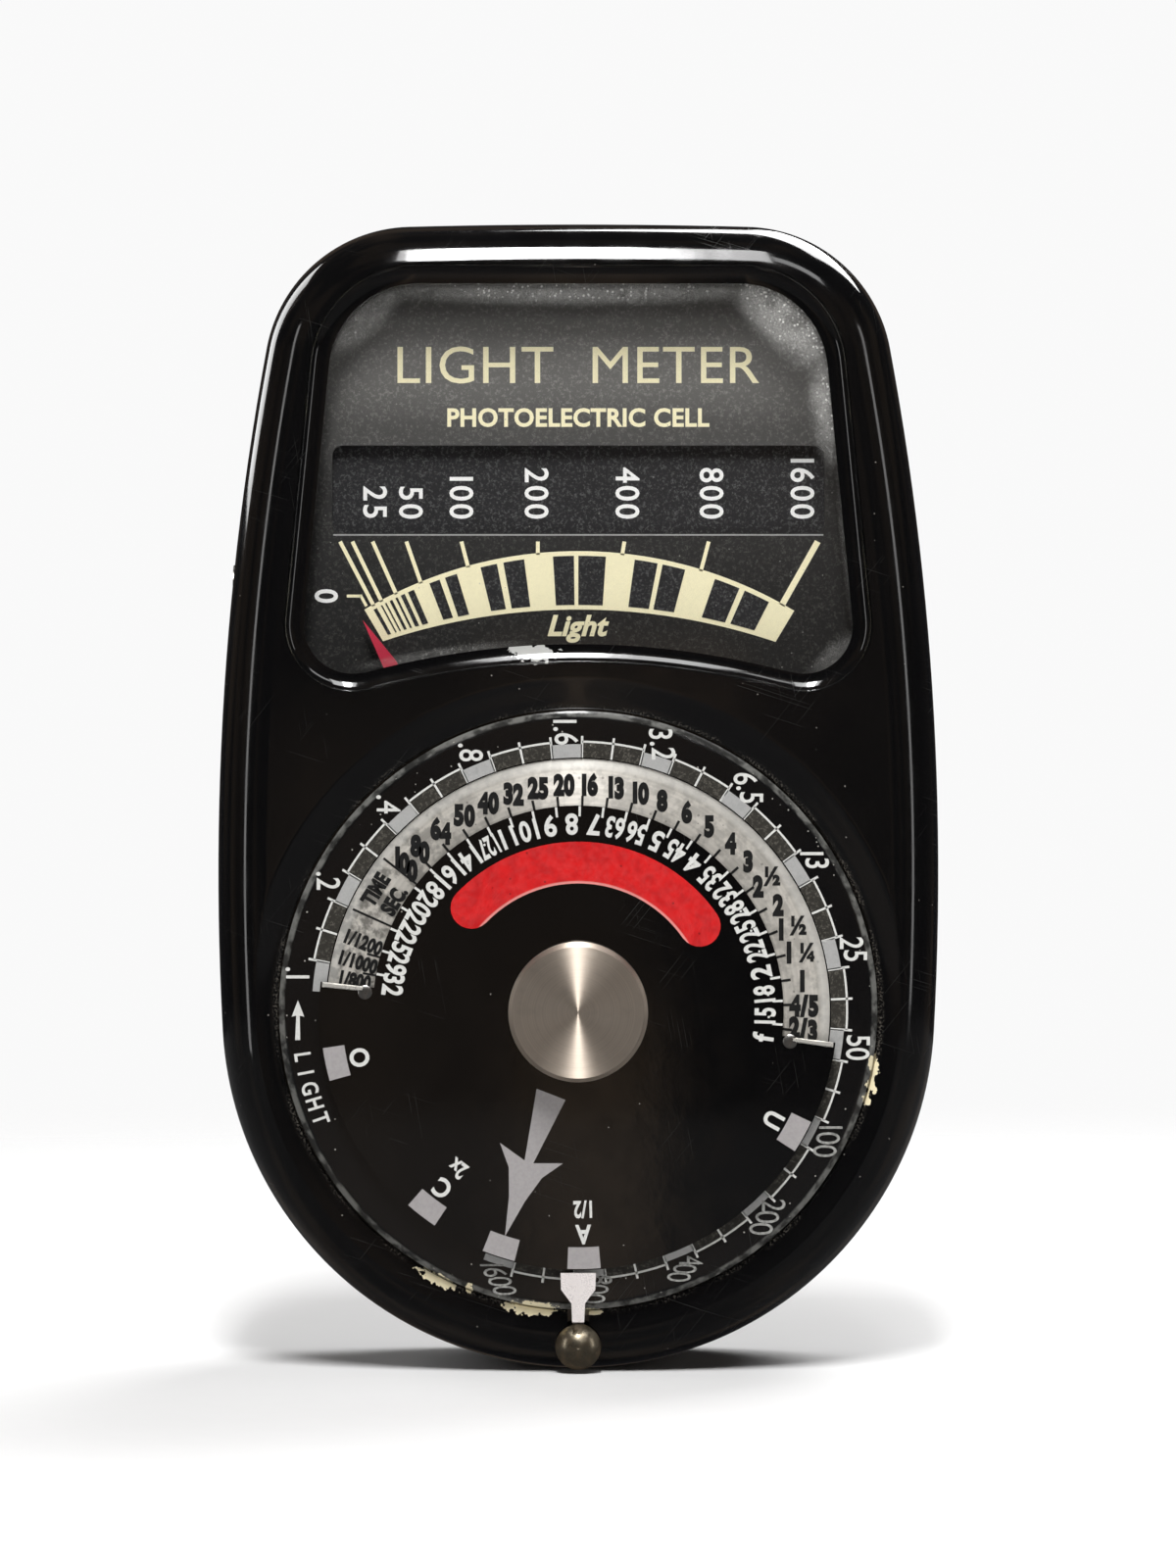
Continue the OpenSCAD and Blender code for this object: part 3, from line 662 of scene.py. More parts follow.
def speckled(name, dark, light, rough=0.55, share=0.3, sheen_and_shade=None, relief=0.012):
    """Matte paint with a fine light grain. A list of (height, tone), lowest first, paints light and
    shade into the base tone by height: painted sheen and painted shadow.
    """
    f = Finish(name, specular_ior_level=0.35)
    grain = f.ramp(f.noise(0.26, 3, rough=0.8), 0.5, 0.66)
    # Painted sheen and painted shadow: the base tone follows the height on the face.
    if sheen_and_shade:
        low, high = sheen_and_shade[0][0], sheen_and_shade[-1][0]
        height = f.ramp(f.axes(f.place)["Z"], (low + DIAL.z) * MM, (high + DIAL.z) * MM,
                        smooth=False)
        ramp = f.node("ValToRGB", {0: height})
        ramp.color_ramp.interpolation = "EASE"
        stops = ramp.color_ramp.elements
        for k, (y, tone) in enumerate(sheen_and_shade):
            spot = (y - low) / (high - low)
            stop = stops[k] if k < 2 else stops.new(spot)
            stop.position = spot
            stop.color = (tone, tone * 0.98, tone * 0.93, 1)
        base = ramp.outputs[0]
        bright = f.vectors("MULTIPLY_ADD", base, (1.7, 1.7, 1.7), light)[0]
    else:
        base, bright = f.mix(f.noise(4, 3), dark, scaled(dark, 1.5)), light
    tone = f.over(base, grain, share, bright)
    tone = f.over(tone, f.specks(0.9, 0.06, 0.2), 0.6, (0.4, 0.39, 0.36))
    f.cover(tone, f.ramp(grain, 0, 1, rough, rough * 0.8), grain, relief, 0.6)


def clear(name, smudges):
    """Glass that light passes straight through, with its gloss and dust.

    A smudge of dust is (x, y, half length, half width, turn, amount).
    """
    f = Finish(name, rough=0.8)
    see = f.add("BsdfTransparent")[0]
    gloss = f.add("BsdfGlossy", {"Color": (1, 1, 1, 1), "Roughness": 0.03})[0]
    grazing = f.add("LayerWeight", {"Blend": 0.5})["Facing"]
    mirror = f.math("ADD", f.times(f.math("POWER", grazing, 5), 0.96), 0.04)
    glass = f.blend(mirror, see, gloss)
    film = f.times(f.specks(1.1, 0.045, 0.2), 0.45)
    grit = f.ramp(f.noise(0.2, 6, rough=0.85), 0.5, 0.62)
    grit = f.larger(f.times(grit, 0.5), f.specks(0.42, 0.1, 0.5))
    lint = f.math("ADD", f.times(grit, 0.8), f.patches(1.5, 3, 0.3, 0.7, 0.1, 0.3))
    for *spot, amount in smudges:
        soft = f.ramp(f.spot(*spot), 0.25, 1, amount, 0)
        film = f.larger(film, f.times(soft, lint))
    f.set(base_color=f.mix(f.noise(0.4, 3), (0.5, 0.5, 0.48), (0.72, 0.71, 0.68)))
    f.show(f.blend(film, glass, f.shader.outputs[0]))


def moulded_glass(name):
    """Thick pale green glass, a little milky, with painted shade in the hollows between its domes.
    """
    f = Finish(name, transmission_weight=0.5)
    front = (MIDDLE - LENS_FRONT) * MM
    # Painted shade: dark down in the hollows, pale on the dome tops.
    dome = f.ramp(f.axes(f.place)["Y"], front - LENS_RISE * MM, front)
    tone = f.mix(dome, (0.16, 0.19, 0.18), (0.72, 0.8, 0.76))
    tone = f.over(tone, f.patches(2.5, 4, 0.45, 0.7), 0.35, (0.4, 0.42, 0.38))
    f.cover(tone, f.patches(0.8, 4, 0.35, 0.75, 0.06, 0.2), f.noise(1.2, 2), 0.01, 0.3)


def turned_metal(name, color):
    """A face finished on a lathe: fine rings that draw the light into a bow tie."""
    f = Finish(name, metal=0.88, anisotropic=0.95, anisotropic_rotation=0.25)
    f.grain_round_dial()
    fine = f.dial_rings(6, 3)
    tone = f.mix(f.ramp(fine, 0.3, 0.7, 0, 0.35), color, scaled(color, 0.72))
    tone = f.over(tone, f.patches(1.5, 4, 0.5, 0.8), 0.3, scaled(color, 0.6))
    f.cover(tone, f.ramp(fine, 0.3, 0.7, 0.357, 0.504), fine, 0.004, 0.25)


def ring_grey(name):
    """Etched grey metal, brushed round the dial, dirty in patches and darker at its left end."""
    f = Finish(name, metal=0.4, anisotropic=0.9, anisotropic_rotation=0.25)
    f.grain_round_dial()
    brushed = f.dial_rings(2.2, 4)
    tone = f.mix(f.ramp(brushed, 0.3, 0.7), (0.62, 0.59, 0.53), (0.83, 0.79, 0.72))
    left = f.ramp(f.axes(f.place)["X"], -0.021, -0.007, 1, 0)
    grime = f.times(f.patches(0.9, 4, 0.4, 0.62), f.math("ADD", f.times(left, 0.5), 0.3))
    tone = f.mix(grime, tone, (0.1, 0.095, 0.085))
    tone = f.over(tone, f.specks(0.7, 0.12, 0.2), 0.5, (0.13, 0.12, 0.1))
    tone = f.over(tone, f.band(f.from_dial(), *TIME_RIM, 0.25), 0.5, (0.72, 0.71, 0.67))
    f.cover(tone, f.ramp(grime, 0, 1, 0.42, 0.6), brushed, 0.006, 0.4)


def red_enamel(name):
    """Scarlet filling with dark pinholes and a painted highlight along its lower rim."""
    f = Finish(name)
    tone = f.mix(f.patches(1.2, 4, 0.35, 0.7), (0.64, 0.01, 0.011), (0.5, 0.008, 0.01))
    tone = f.over(tone, f.specks(0.75, 0.1, 0.16), 0.75, (0.2, 0.006, 0.006))
    # Painted highlight: a pale band along the arc's lower rim, where its bevel would catch the
    # light.
    tone = f.over(tone, f.band(f.from_dial(), *ARC_RIM, 0.06), 0.6, (0.8, 0.42, 0.38))
    f.cover(tone, f.patches(0.5, 2, 0.3, 0.7, 0.3, 0.5), f.noise(0.5, 3), 0.012, 0.5)


# Where paint has come off, as flakes() takes it
FLAKES = [(-4.1, -26.2, 2.1, 0.62, -4), (0.9, -26.6, 1.1, 0.35, 3), (-12.4, -23.7, 1.7, 0.45, -28),
          (26, -4.9, 0.42, 0.9, 10), (25.8, -6.6, 0.42, 0.7, 12), (25.4, -7.9, 0.36, 0.6, 14),
          (22.2, -3.9, 0.35, 0.7, 5), (-9.6, -24.5, 0.3, 0.5, 0), (10.9, -19.4, 0.5, 0.6, 20)]
CHIPS = [(-4, 31.45, 1.9, 0.75, -4), (-5.4, 31.75, 0.9, 0.4, -20)]
# Dust under the edge of the window, as clear() takes it
SMUDGES = [(18.4, 61.4, 8.5, 3.6, -46, 1), (22.4, 54, 2.6, 7, 4, 0.8), (0, 63.6, 22, 1.8, 0, 0.55),
           (-18.5, 61.4, 6, 2, 46, 0.26), (-23.6, 48, 0.9, 9, -4, 0.3), (24, 42, 1.1, 12, 5, 0.3),
           (22.8, 31.4, 4, 1.3, 40, 0.2), (-12, 31.3, 9, 0.8, 8, 0.26)]
# Painted sheen on the dial plate, brightest a little below the window's top edge, with a painted
# shadow right under that edge, as (height, tone).
PLATE_SHEEN_AND_SHADE = [(24, 0.008), (34, 0.011), (46, 0.025), (51, 0.07), (56, 0.15), (60.5, 0.17),
              (62.4, 0.08), (66, 0.02)]
CREAM = (0.85, 0.76, 0.52)
BARE_METAL = (0.5, 0.5, 0.48)

enamel("case_enamel", base=0.002, rim_dust=True,
       chips=[(CHIPS, BARE_METAL), (FLAKES, CREAM)])
enamel("back_enamel", base=0.005, rough=0.12, scuffs=0.5)
enamel("baffle_enamel", base=0.014, rough=0.26, scuffs=0.6)
metal("screw_steel", (0.46, 0.45, 0.43), 0.36, spots=0.6)
clear("window_glass", SMUDGES)
paint("gasket", (0.02, 0.02, 0.02), 0.8)
speckled("scale_plate", (0.02, 0.02, 0.02), (0.035, 0.034, 0.03), share=0.9,
         sheen_and_shade=PLATE_SHEEN_AND_SHADE)
speckled("number_plate", (0.012, 0.012, 0.013), (0.16, 0.16, 0.16), share=0.5)
metal("plated_steel", (0.52, 0.52, 0.5), 0.32)
paint("needle_red", (0.62, 0.035, 0.075), 0.35, wear=0.2)
metal("magnet", (0.16, 0.16, 0.17), 0.6, metallic=0.6)
metal("soft_iron", (0.36, 0.36, 0.37), 0.4, grain=(1, 1, 8))
metal("brass", (0.66, 0.48, 0.2), 0.3, grain=(6, 1, 1))
metal("coil_wire", (0.5, 0.22, 0.09), 0.35, grain=(1, 8, 1))
metal("hairspring", (0.6, 0.44, 0.2), 0.3)
moulded_glass("cell_glass")
metal("selenium", (0.15, 0.13, 0.14), 0.4, metallic=0.3)
paint("cell_card", (0.26, 0.14, 0.06), 0.8, grain=0.6)
metal("spring_steel", (0.34, 0.34, 0.35), 0.3)
metal("latch_nickel", (0.62, 0.6, 0.55), 0.22)
enamel("light_ring", rough=0.12, chips=[(FLAKES, CREAM)], rim_wear_and_highlight=True)
ring_grey("time_ring")
enamel("exposure_disc", base=0.0016, rough=0.06, scuffs=0.2)
red_enamel("red_arc")
# The warm brown tint is a painted reflection of a warm brown surround, laid over the turned metal's
# colour.
turned_metal("knob_metal", (0.72, 0.62, 0.52))
# Near white and mostly diffuse: a painted highlight standing in for the bright reflection that the
# tongue's flat face catches from no lamp here.
metal("tongue_metal", (0.96, 0.9, 0.88), 0.34, metallic=0.25, spots=0.15)
metal("button_nickel", (0.44, 0.38, 0.28), 0.36, spots=0.7, dark=0.5)
paint("cream_ink", (1, 0.93, 0.62), wear=0.12)
paint("white_ink", (0.68, 0.68, 0.65), 0.45, wear=0.3)
# A copy of white_ink painted brighter, for the figures behind the window: painted light that makes
# up for what the glass and the window's walls take.
paint("white_ink_painted_bright", (0.97, 0.97, 0.95), 0.45, wear=0.12)
paint("worn_ink", (0.36, 0.36, 0.34), wear=0.8, dark=0.3, grain=0.3)
metal("silver_ink", (0.5, 0.5, 0.49), 0.45, metallic=0.25, spots=0.5)
paint("grey_ink", (0.36, 0.34, 0.34))
paint("black_ink", (0.006, 0.006, 0.006), wear=0.1)
speckled("cell_ink", (0.022, 0.02, 0.016), (0.28, 0.26, 0.22), 0.5, relief=0.006)
metal("bright_edge", (0.86, 0.84, 0.78), 0.25, metallic=0.6, spots=0.1)


def finish_cad_nodes():
    """Gives every CAD node the procedural version of its record material."""
    slots = {part["node"]: part["material_slot"] for part in frame["record"]["subparts"]}
    for name, node in frame["nodes"].items():
        node.data.materials.clear()
        node.data.materials.append(MATERIALS[slots[name]])


# ---- Case shells ----

def domed(inset, z0, z1, over, down, chamfer=0):
    """A solid in the case's outline whose top edge rounds over and in."""
    steps = 14
    rings = [level(outline(inset + chamfer), z0)]
    if chamfer:
        rings.append(level(outline(inset), z0 + chamfer))
    for k in range(steps + 1):
        t = pi / 2 * k / steps
        rings.append(level(outline(inset + over * (1 - cos(t))),
                           z1 - down + down * sin(t)))
    return loft(rings)


def mirrored(solid):
    verts, faces = solid
    return [(x, y, -z) for x, y, z in verts], [tuple(reversed(face)) for face in faces]


def window_cut():
    """The window's opening with its cove, which flattens towards the glass."""
    steps = 8
    rings = [level(window_outline(0), ROOF), level(window_outline(0), FACE - COVE_DEEP)]
    for k in range(1, steps + 1):
        t = pi / 2 * k / steps
        rings.append(level(window_outline(COVE_WIDE * sin(t)),
                           FACE - COVE_DEEP * cos(t)))
    rings.append(level(window_outline(COVE_WIDE), FACE + PAST))
    return loft(rings)


def dish_cut():
    """The calculator's recess, with a shallow dish that leads down to it."""
    steps, foot, start = 8, FACE - DISH_DEEP, RECESS_R + DISH_LIP
    profile = [(RECESS_R, RECESS_Z), (RECESS_R, foot - 0.1), (start, foot)]
    for k in range(1, steps + 1):
        t = k / steps
        ease = t * t * (3 - 2 * t)
        profile.append((start + (DISH_R - RECESS_R) * t, FACE - DISH_DEEP * (1 - ease)))
    profile.append((DISH_R + DISH_LIP + 0.01, FACE + PAST))
    return lathe(profile, n=160)


def case_front_shell():
    shell = make("case_front_shell", [domed(0, SEAM, FACE, EDGE_IN, EDGE_DOWN, SEAM_BEVEL)])
    tongue_slot = box_outline(-TONGUE_HALF, TONGUE_HALF, BOSS_Y, TONGUE_END)
    carve(shell,
          cut(domed(WALL, -1, ROOF, INNER_IN, INNER_DOWN)),
          joined(lathe([(BOSS_R, BOSS_LOW), (BOSS_R, ROOF + 1)], (0, BOSS_Y), 48)),
          cut(window_cut()),
          cut(prism(window_outline(SEAT_WIDE), 5, SEAT_TOP)),
          cut(dish_cut()),
          cut(prism(tongue_slot, RECESS_Z - 1, FACE + PAST)),
          cut(prism(circle((0, BUTTON_Y), BUTTON_R + 0.1), 11, FACE + PAST)))
    shade(shell)
    stand(shell, "case", "case_enamel", replaces=["case_front"])


def knuckle(y0, y1):
    """A hinge barrel along y."""
    section = circle((0, 0), BARREL_R, 48)[::-1]
    return loft([[(HINGE_X + x, y, HINGE_Z + z) for x, z in section] for y in (y0, y1)])


def knuckle_web(y0, y1):
    """The strip that carries a hinge barrel, set in a little from its ends."""
    strip = box_outline(HINGE_X - WEB_HALF, HINGE_X + WEB_HALF, y0 + 0.06, y1 - 0.06)
    return prism(strip, HINGE_Z, SHELF_Z + 0.3)


def case_back_shell():
    tub = clip(outline(TUB_INSET), 1, TUB_Y, True)
    pocket = clip(outline(DOOR_INSET - 0.25), 1, DOOR_LOW - 0.3, True)
    shelf = clip(clip(clip(outline(0.02), 0, SHELF_X, True), 1, SHELF_Y[0], True),
                 1, SHELF_Y[1], False)
    hinge_slot = box_outline(DOOR_SIDE + 0.3, HALF_WIDTH + PAST, KNUCKLES[0][0] - KNUCKLE_GAP,
                             KNUCKLES[1][1] + KNUCKLE_GAP)
    button_hole = loft([[(x, LATCH_Y + a, LATCH_Z + b) for a, b in circle((0, 0), LATCH_R, 48)]
                        for x in (-HALF_WIDTH - PAST, -28)])
    outer = mirrored(domed(0, SEAM, -BACK, EDGE_IN, EDGE_DOWN, SEAM_BEVEL))
    shell = make("case_back_shell", [outer])
    carve(shell,
          cut(mirrored(domed(WALL, -1, -BACK - WALL, INNER_IN, INNER_DOWN))),
          joined(prism(tub, TUB_LOW, TUB_TOP)),
          joined(prism(shelf, SHELF_Z, SHELF_TOP)),
          cut(prism(pocket, BACK - PAST, POCKET_Z)),
          cut(prism(hinge_slot, BACK - PAST, SHELF_Z)),
          joined(knuckle(*KNUCKLES[0])),
          joined(knuckle(*KNUCKLES[1])),
          joined(*[knuckle_web(*ends) for ends in KNUCKLES]),
          cut(lathe([(CELL_R - 1.5, BACK - PAST), (CELL_R - 1.5, -8)], (0, CELL_Y))),
          cut(lathe([(ZERO_R, BACK - PAST), (ZERO_R, -11.7)], (0, ZERO_Y))),
          cut(*[lathe([(SCREW_R, BACK - PAST), (SCREW_R, -11)], place, 48)
                for place in SCREWS]),
          cut(lathe([(PLUNGER_R, -12), (PLUNGER_R, -8)], PLUNGER, 32)),
          cut(prism(box_outline(*CATCH_SLOT), -11, -8)),
          cut(button_hole))
    shade(shell)
    stand(shell, "case", "back_enamel", replaces=["case_back"])


# ---- Photocell lens ----

def lens_height(x, y):
    """Depth of the moulded face at a point from the cell's centre: domes in a honeycomb."""
    row_step = LENS_PITCH * sin(radians(60))
    nearest = LENS_PITCH
    for row in (floor(y / row_step), floor(y / row_step) + 1):
        offset = LENS_PITCH / 2 if row % 2 else 0
        col = round((x - offset) / LENS_PITCH)
        nearest = min(nearest, hypot(x - offset - col * LENS_PITCH, y - row * row_step))
    reach = nearest / (LENS_PITCH / sqrt(3))
    edge = min(1, max(0, (LENS_RIM - 0.5 - hypot(x, y)) / 0.6))
    return LENS_FRONT + LENS_RISE * (1 - edge * (1 - reach ** 2))


def cell_lens():
    """Moulded glass with a honeycomb of small domes towards the light."""
    segments, fine = 300, 100

    def ring(r, depth):
        return [(x, CELL_Y + y, depth(x, y)) for x, y in circle((0, 0), r, segments)]

    rings = [ring(r, lambda x, y: LENS_BACK) for r in (0.2, CELL_R)]
    rings += [ring(r, lambda x, y: LENS_STEP) for r in (CELL_R, LENS_RIM)]
    rings += [ring(LENS_RIM - (LENS_RIM - 0.1) * k / fine, lens_height) for k in range(fine + 1)]
    lens = make("cell_lens", [loft(rings[::-1])])
    shade(lens, 60)
    stand(lens, "case", "cell_glass", replaces=["cell_glass"])


# ---- Print on the light ring ----

LIGHT_NAMES = [".1", ".2", ".4", ".8", "1.6", "3.2", "6.5", "13", "25", "50", "100", "200", "400",
               "800", "1600"]
LIGHT_LEAN = [0, 0, 0, 5, 5, 8, 18, 29, 18, -3, -14, -28, -36, -20, 27]
LIGHT_SHIFT = {13: 1.4, 14: 1}    # figures that stand a little off their block
LIGHT_FIRST, LIGHT_STEP, LIGHT_HALF = 172.5, 20, 3.34
LIGHT_IN, LIGHT_LINE, LIGHT_TEXT_R = 22.2, 23.6, 24.85
LAST_FRESH, LAST_WIDE = 9, 11       # figures after these are worn, and set closer
HALF_LINE = 0.09
WORD_FIRST, WORD_STEP, WORD_R = 189.6, 3.3, 24.5
ARROW = [(-24.6, 0.9), (-25.15, -0.55), (-24.75, -0.45), (-24.85, -2.6), (-24.4, -2.6),
         (-24.45, -0.45), (-24.05, -0.55)]


def light_ring_print():
    lines, blocks, cells, labels, faint = [], [], [], [], []
    for k, (name, lean) in enumerate(zip(LIGHT_NAMES, LIGHT_LEAN)):
        a = LIGHT_FIRST - LIGHT_STEP * k
        blocks.append(sector(LIGHT_IN, LIGHT_LINE - 0.22, a - LIGHT_HALF, a + LIGHT_HALF))
        group, weight = (faint, -0.004) if k > LAST_FRESH else (labels, 0.008)
        r = LIGHT_TEXT_R - 0.32 * abs(sin(radians(a)))
        narrow, pitch = (0.62, 0.88) if k > LAST_WIDE else (0.8, 1.16)
        group.extend(staggered(name, r, a + LIGHT_SHIFT.get(k, 0), lean - 90, -90, 2.1, narrow,
                               pitch, weight))
        if k == len(LIGHT_NAMES) - 1:
            continue
        start, end = a - LIGHT_HALF, a - LIGHT_STEP + LIGHT_HALF
        middle = (start + end) / 2
        lines.append(sector(LIGHT_LINE - HALF_LINE, LIGHT_LINE + HALF_LINE, end, start, 12))
        for place in (start, middle, end):
            lines.append(tick(LIGHT_IN, LIGHT_LINE + 0.5, place, 0.1, LIGHT_LINE))
        for low, high in ((end + 0.35, middle - 0.35), (middle + 0.35, start - 0.35)):
            cells.append(sector(LIGHT_IN, LIGHT_LINE - HALF_LINE - 0.03, low, high, 4))
    for k, c in enumerate("LIGHT"):
        a = WORD_FIRST + WORD_STEP * k
        labels.append(on_ring(c, WORD_R, a, -90 + (a - 180) * 0.85, 1.5, 0.8, 0.02))
    lines.append(ARROW)
    marks("light_ring_lines", lines, LIGHT_FACE, "white_ink")
    marks("light_ring_blocks", blocks, LIGHT_FACE, "silver_ink")
    marks("light_ring_cells", cells, LIGHT_FACE, "cell_ink", -0.02)
    lettering("light_ring_figures", labels, LIGHT_FACE, "white_ink")
    lettering("light_ring_worn_figures", faint, LIGHT_FACE, "worn_ink")


# ---- Print on the time ring ----

# Seconds: figures, angle on the ring and lean
TIME_FIGURES = [("100", 139.8, -42), ("80", 134.4, -38), ("64", 127.5, -26), ("50", 120.3, -4),
                ("40", 113.4, 0), ("32", 106.7, -6), ("25", 100.2, 0), ("20", 93.6, 0),
                ("16", 87.2, 0), ("13", 80.4, -6), ("10", 74.1, -6), ("8", 68.2, 0), ("6", 61.3, 0),
                ("5", 54.6, 0), ("4", 47.6, 0), ("3", 41.3, 0), ("2", 27.8, 0), ("1", 7.5, 0),
                ("4/5", 1.2, 0), ("2/3", -4.7, -10)]
# A whole figure over a fraction, with an angle for each
FRACTIONS = [("2", "½", 34.6, 34.8), ("1", "½", 21.8, 21.2), ("1", "¼", 15.4, 14.3)]
FAST_SPEEDS = [("1/1200", 162.4), ("1/1000", 167.6), ("1/800", 172.3)]
# The part of the time scale that the disc covers at rest, in fractions of a second
HIDDEN = [2, 2.5, 3, 4, 5, 6, 8, 10, 13, 16, 20, 25, 32, 40, 50, 64, 80, 100, 125, 160, 200, 250,
          320, 400, 500, 650]
HIDDEN_FIRST, HIDDEN_STEP = -11.4, 6.67
TIME_TEXT_R, SPEED_TEXT_R = 19.85, 19.75
TIME_BOLD, SPEED_BOLD = 0.075, 0.055
TICK_COUNT, TICK_FIRST, TICK_STEP = 46, 135.9, 6.72
TICK_LOW, TICK_TOP = 17.7, 18.85
# Longer strokes that part the groups: angle and both radii
DIVIDERS = [(142, TICK_LOW, 21.7), (155.8, TICK_LOW, 21.7), (165, TICK_LOW, 19.2),
            (170.2, TICK_LOW, 19.2)]


def time_ring_print():
    labels = []
    for text, a, lean in TIME_FIGURES:
        pitch = 0.95 if a > 115 else 0.9
        labels += staggered(text, TIME_TEXT_R, a, lean, 0, 2, 0.71, pitch, TIME_BOLD)
    for whole, part, a, part_a in FRACTIONS:
        labels += staggered(whole, TIME_TEXT_R - 0.65, a, 0, 0, 2, 0.71, 0.9, TIME_BOLD)
        labels += staggered(part, TIME_TEXT_R + 0.85, part_a, 0, 0, 1.7, 0.9, 0.9, 0.04)
    for text, a in FAST_SPEEDS:
        labels.append(on_ring(text, SPEED_TEXT_R, a, a - 180 - 4, 1.35, 0.74, SPEED_BOLD))
    for text, r in (("TIME", 20.75), ("SEC.", 18.85)):
        labels.append(on_ring(text, r, 149.2, 58, 1.5, 0.72, 0.06))
    for k, speed in enumerate(HIDDEN):
        a = HIDDEN_FIRST - HIDDEN_STEP * k
        labels.append(on_ring(f"1/{speed}", SPEED_TEXT_R, a, a - 180, 1.3, 0.74, SPEED_BOLD))
    ticks = [tick(TICK_LOW, TICK_TOP, TICK_FIRST - TICK_STEP * k, 0.11, 18.4)
             for k in range(TICK_COUNT)]
    ticks += [tick(r0, r1, a, HALF_LINE, 19) for a, r0, r1 in DIVIDERS]
    marks("time_ring_ticks", ticks, TIME_FACE, "black_ink")
    lettering("time_ring_figures", labels, TIME_FACE, "black_ink")


# ---- Print on the exposure disc ----

STOPS = ["32", "29", "25", "22", "20", "18", "16", "14", "12.7", "11", "10", "9", "8", "7", "6.3",
         "5.6", "5", "4.5", "4", "3.5", "3.2", "2.8", "2.5", "2.2", "2", "1.8", "1.5", "f"]
STOP_FIRST, STOP_STEP = 172, 6.67
STOP_R = 16.35
STOP_NARROW = {1: 0.9, 2: 0.78, 3: 0.68, 4: 0.5}    # by the number of characters
KEY_R = (20.7, 22.6)
# Key marks round the lower edge: angle, letter, width of the letter, and its factor
KEYS = [(-88.7, "A", 0.8, "1/2"), (-127.5, "C", 0.9, "2x"), (-168, "O", 0.9, ""),
        (-29.2, "U", 0.9, ""), (-108, "", 0, "")]
POINTS_TO = -108
# The main pointer: along its direction, and across
POINTER = [(7.6, -1.35), (7.75, 1.35), (13.9, 0.38), (13.1, 2.85), (14.9, 1.5), (17.3, 0.72),
           (20.75, 0), (17.3, -0.75), (14.9, -1.55), (13.1, -2.95), (13.9, -0.42)]


def exposure_disc_print():
    labels, ticks, grey = [], [], []
    for k, stop in enumerate(STOPS):
        a = STOP_FIRST - STOP_STEP * k
        labels.append(on_ring(stop.replace(".", ""), STOP_R, a, a + 90, 1.9,
                              STOP_NARROW[len(stop)], 0.03))
        if "." in stop:
            dot = turned(STOP_R + 0.35, a - 0.4 + (1.2 if stop == "12.7" else 0))
            ticks.append(circle(dot, 0.11, 8))
        if stop != "f":
            ticks.append(tick(17.05, 17.95, a - 2.4, 0.1, 17.4))
    for a, text, narrow, factor in KEYS:
        grey.append(tick(*KEY_R, a, 1.4, 21.6, 4))
        if text:
            labels.append(on_ring(text, 19.6, a, a - 90, 1.75, narrow, 0.03))
        if factor:
            labels.append(on_ring(factor, 17.4, a, a - 90, 1.55, 0.7, 0.03))
    out, across = Vector(turned(1, POINTS_TO)), Vector(turned(1, POINTS_TO + 90))
    grey.append([tuple(out * u + across * v) for u, v in POINTER])
    marks("disc_ticks", ticks, DISC_FACE, "white_ink")
    marks("disc_grey_marks", grey, DISC_FACE, "grey_ink")
    lettering("disc_figures", labels, DISC_FACE, "white_ink")


def disc_edges():
    """Bright bevelled ends of the exposure disc's cut-away, and the small pins beside them."""
    near, far = 18.9, 22.55
    ends = []
    for a, side in ((173.5, 1), (-7, -1)):
        width = degrees(0.42 / 20.5) * side
        base = sector(near, far, min(a, a + width), max(a, a + width), 3)
        inner = (a + width * 0.2, a + width * 0.8)
        top = sector(near + 0.1, far - 0.1, min(inner), max(inner), 3)
        ends.append(loft([level(base, DISC_TOP - 0.3), level(base, DISC_TOP + 0.02),
                          level(top, DISC_TOP + 0.16)]))
    stand(make("disc_bright_ends", ends), *DISC_FACE[1:], "bright_edge")
    profile = [(0.62, DISC_TOP - 0.2), (0.62, DISC_TOP + 0.02), (0.5, DISC_TOP + 0.1),
               (0.2, DISC_TOP + 0.13)]
    pins = make("disc_end_pins", [lathe(profile, turned(18.75, a), 32) for a in (175, -8.2)])
    shade(pins)
    stand(pins, *DISC_FACE[1:], "screw_steel")


# ---- Print on the dial plate and the number plate ----

# x of each line at the slot and at the band
SCALE_TICKS = [(-21.2, -18.2), (-20.1, -17.5), (-18.3, -16.2), (-15.3, -14), (-10.4, -9.8),
               (-3.6, -3.6), (4.1, 3.9), (11.6, 10.9), (21.3, 18.1)]
# Angles from upright between which the band is black
BLACK_BLOCKS = [(-29.5, -29), (-28.35, -28.15), (-27.7, -27.5), (-27, -26.6), (-26.1, -25.8),
                (-25.3, -24.7), (-24.2, -23.3), (-21, -19.5), (-18.7, -17), (-13.6, -11.3),
                (-10.4, -7.5), (-3.5, -0.6), (0, 3.8), (7.8, 11), (11.7, 14.9), (19.2, 22.8),
                (23.6, 27.3)]
BAND_OUT_R = 37.4
BAND_IN_Y, BAND_IN_R = -19.5, 54.9
BAND_ENDS = (-30.6, 30.9)
BAND_MARGIN = 0.42


def on_band(angle, r):
    """A point at an angle from upright about the needle's pivot."""
    return (PIVOT[0] + r * sin(radians(angle)),
            PIVOT[1] + r * cos(radians(angle)))


def band_inner(angle):
    """Where a line from the pivot meets the band's flatter inner arc."""
    c = cos(radians(angle))
    drop = PIVOT[1] - BAND_IN_Y
    return -drop * c + sqrt((drop * c) ** 2 - drop ** 2 + BAND_IN_R ** 2)


def band_cell(a0, a1, margin, n):
    angles = [a0 + (a1 - a0) * k / n for k in range(n + 1)]
    outer = [on_band(a, BAND_OUT_R - margin) for a in angles]
    inner = [on_band(a, band_inner(a) + margin) for a in reversed(angles)]
    return outer + inner


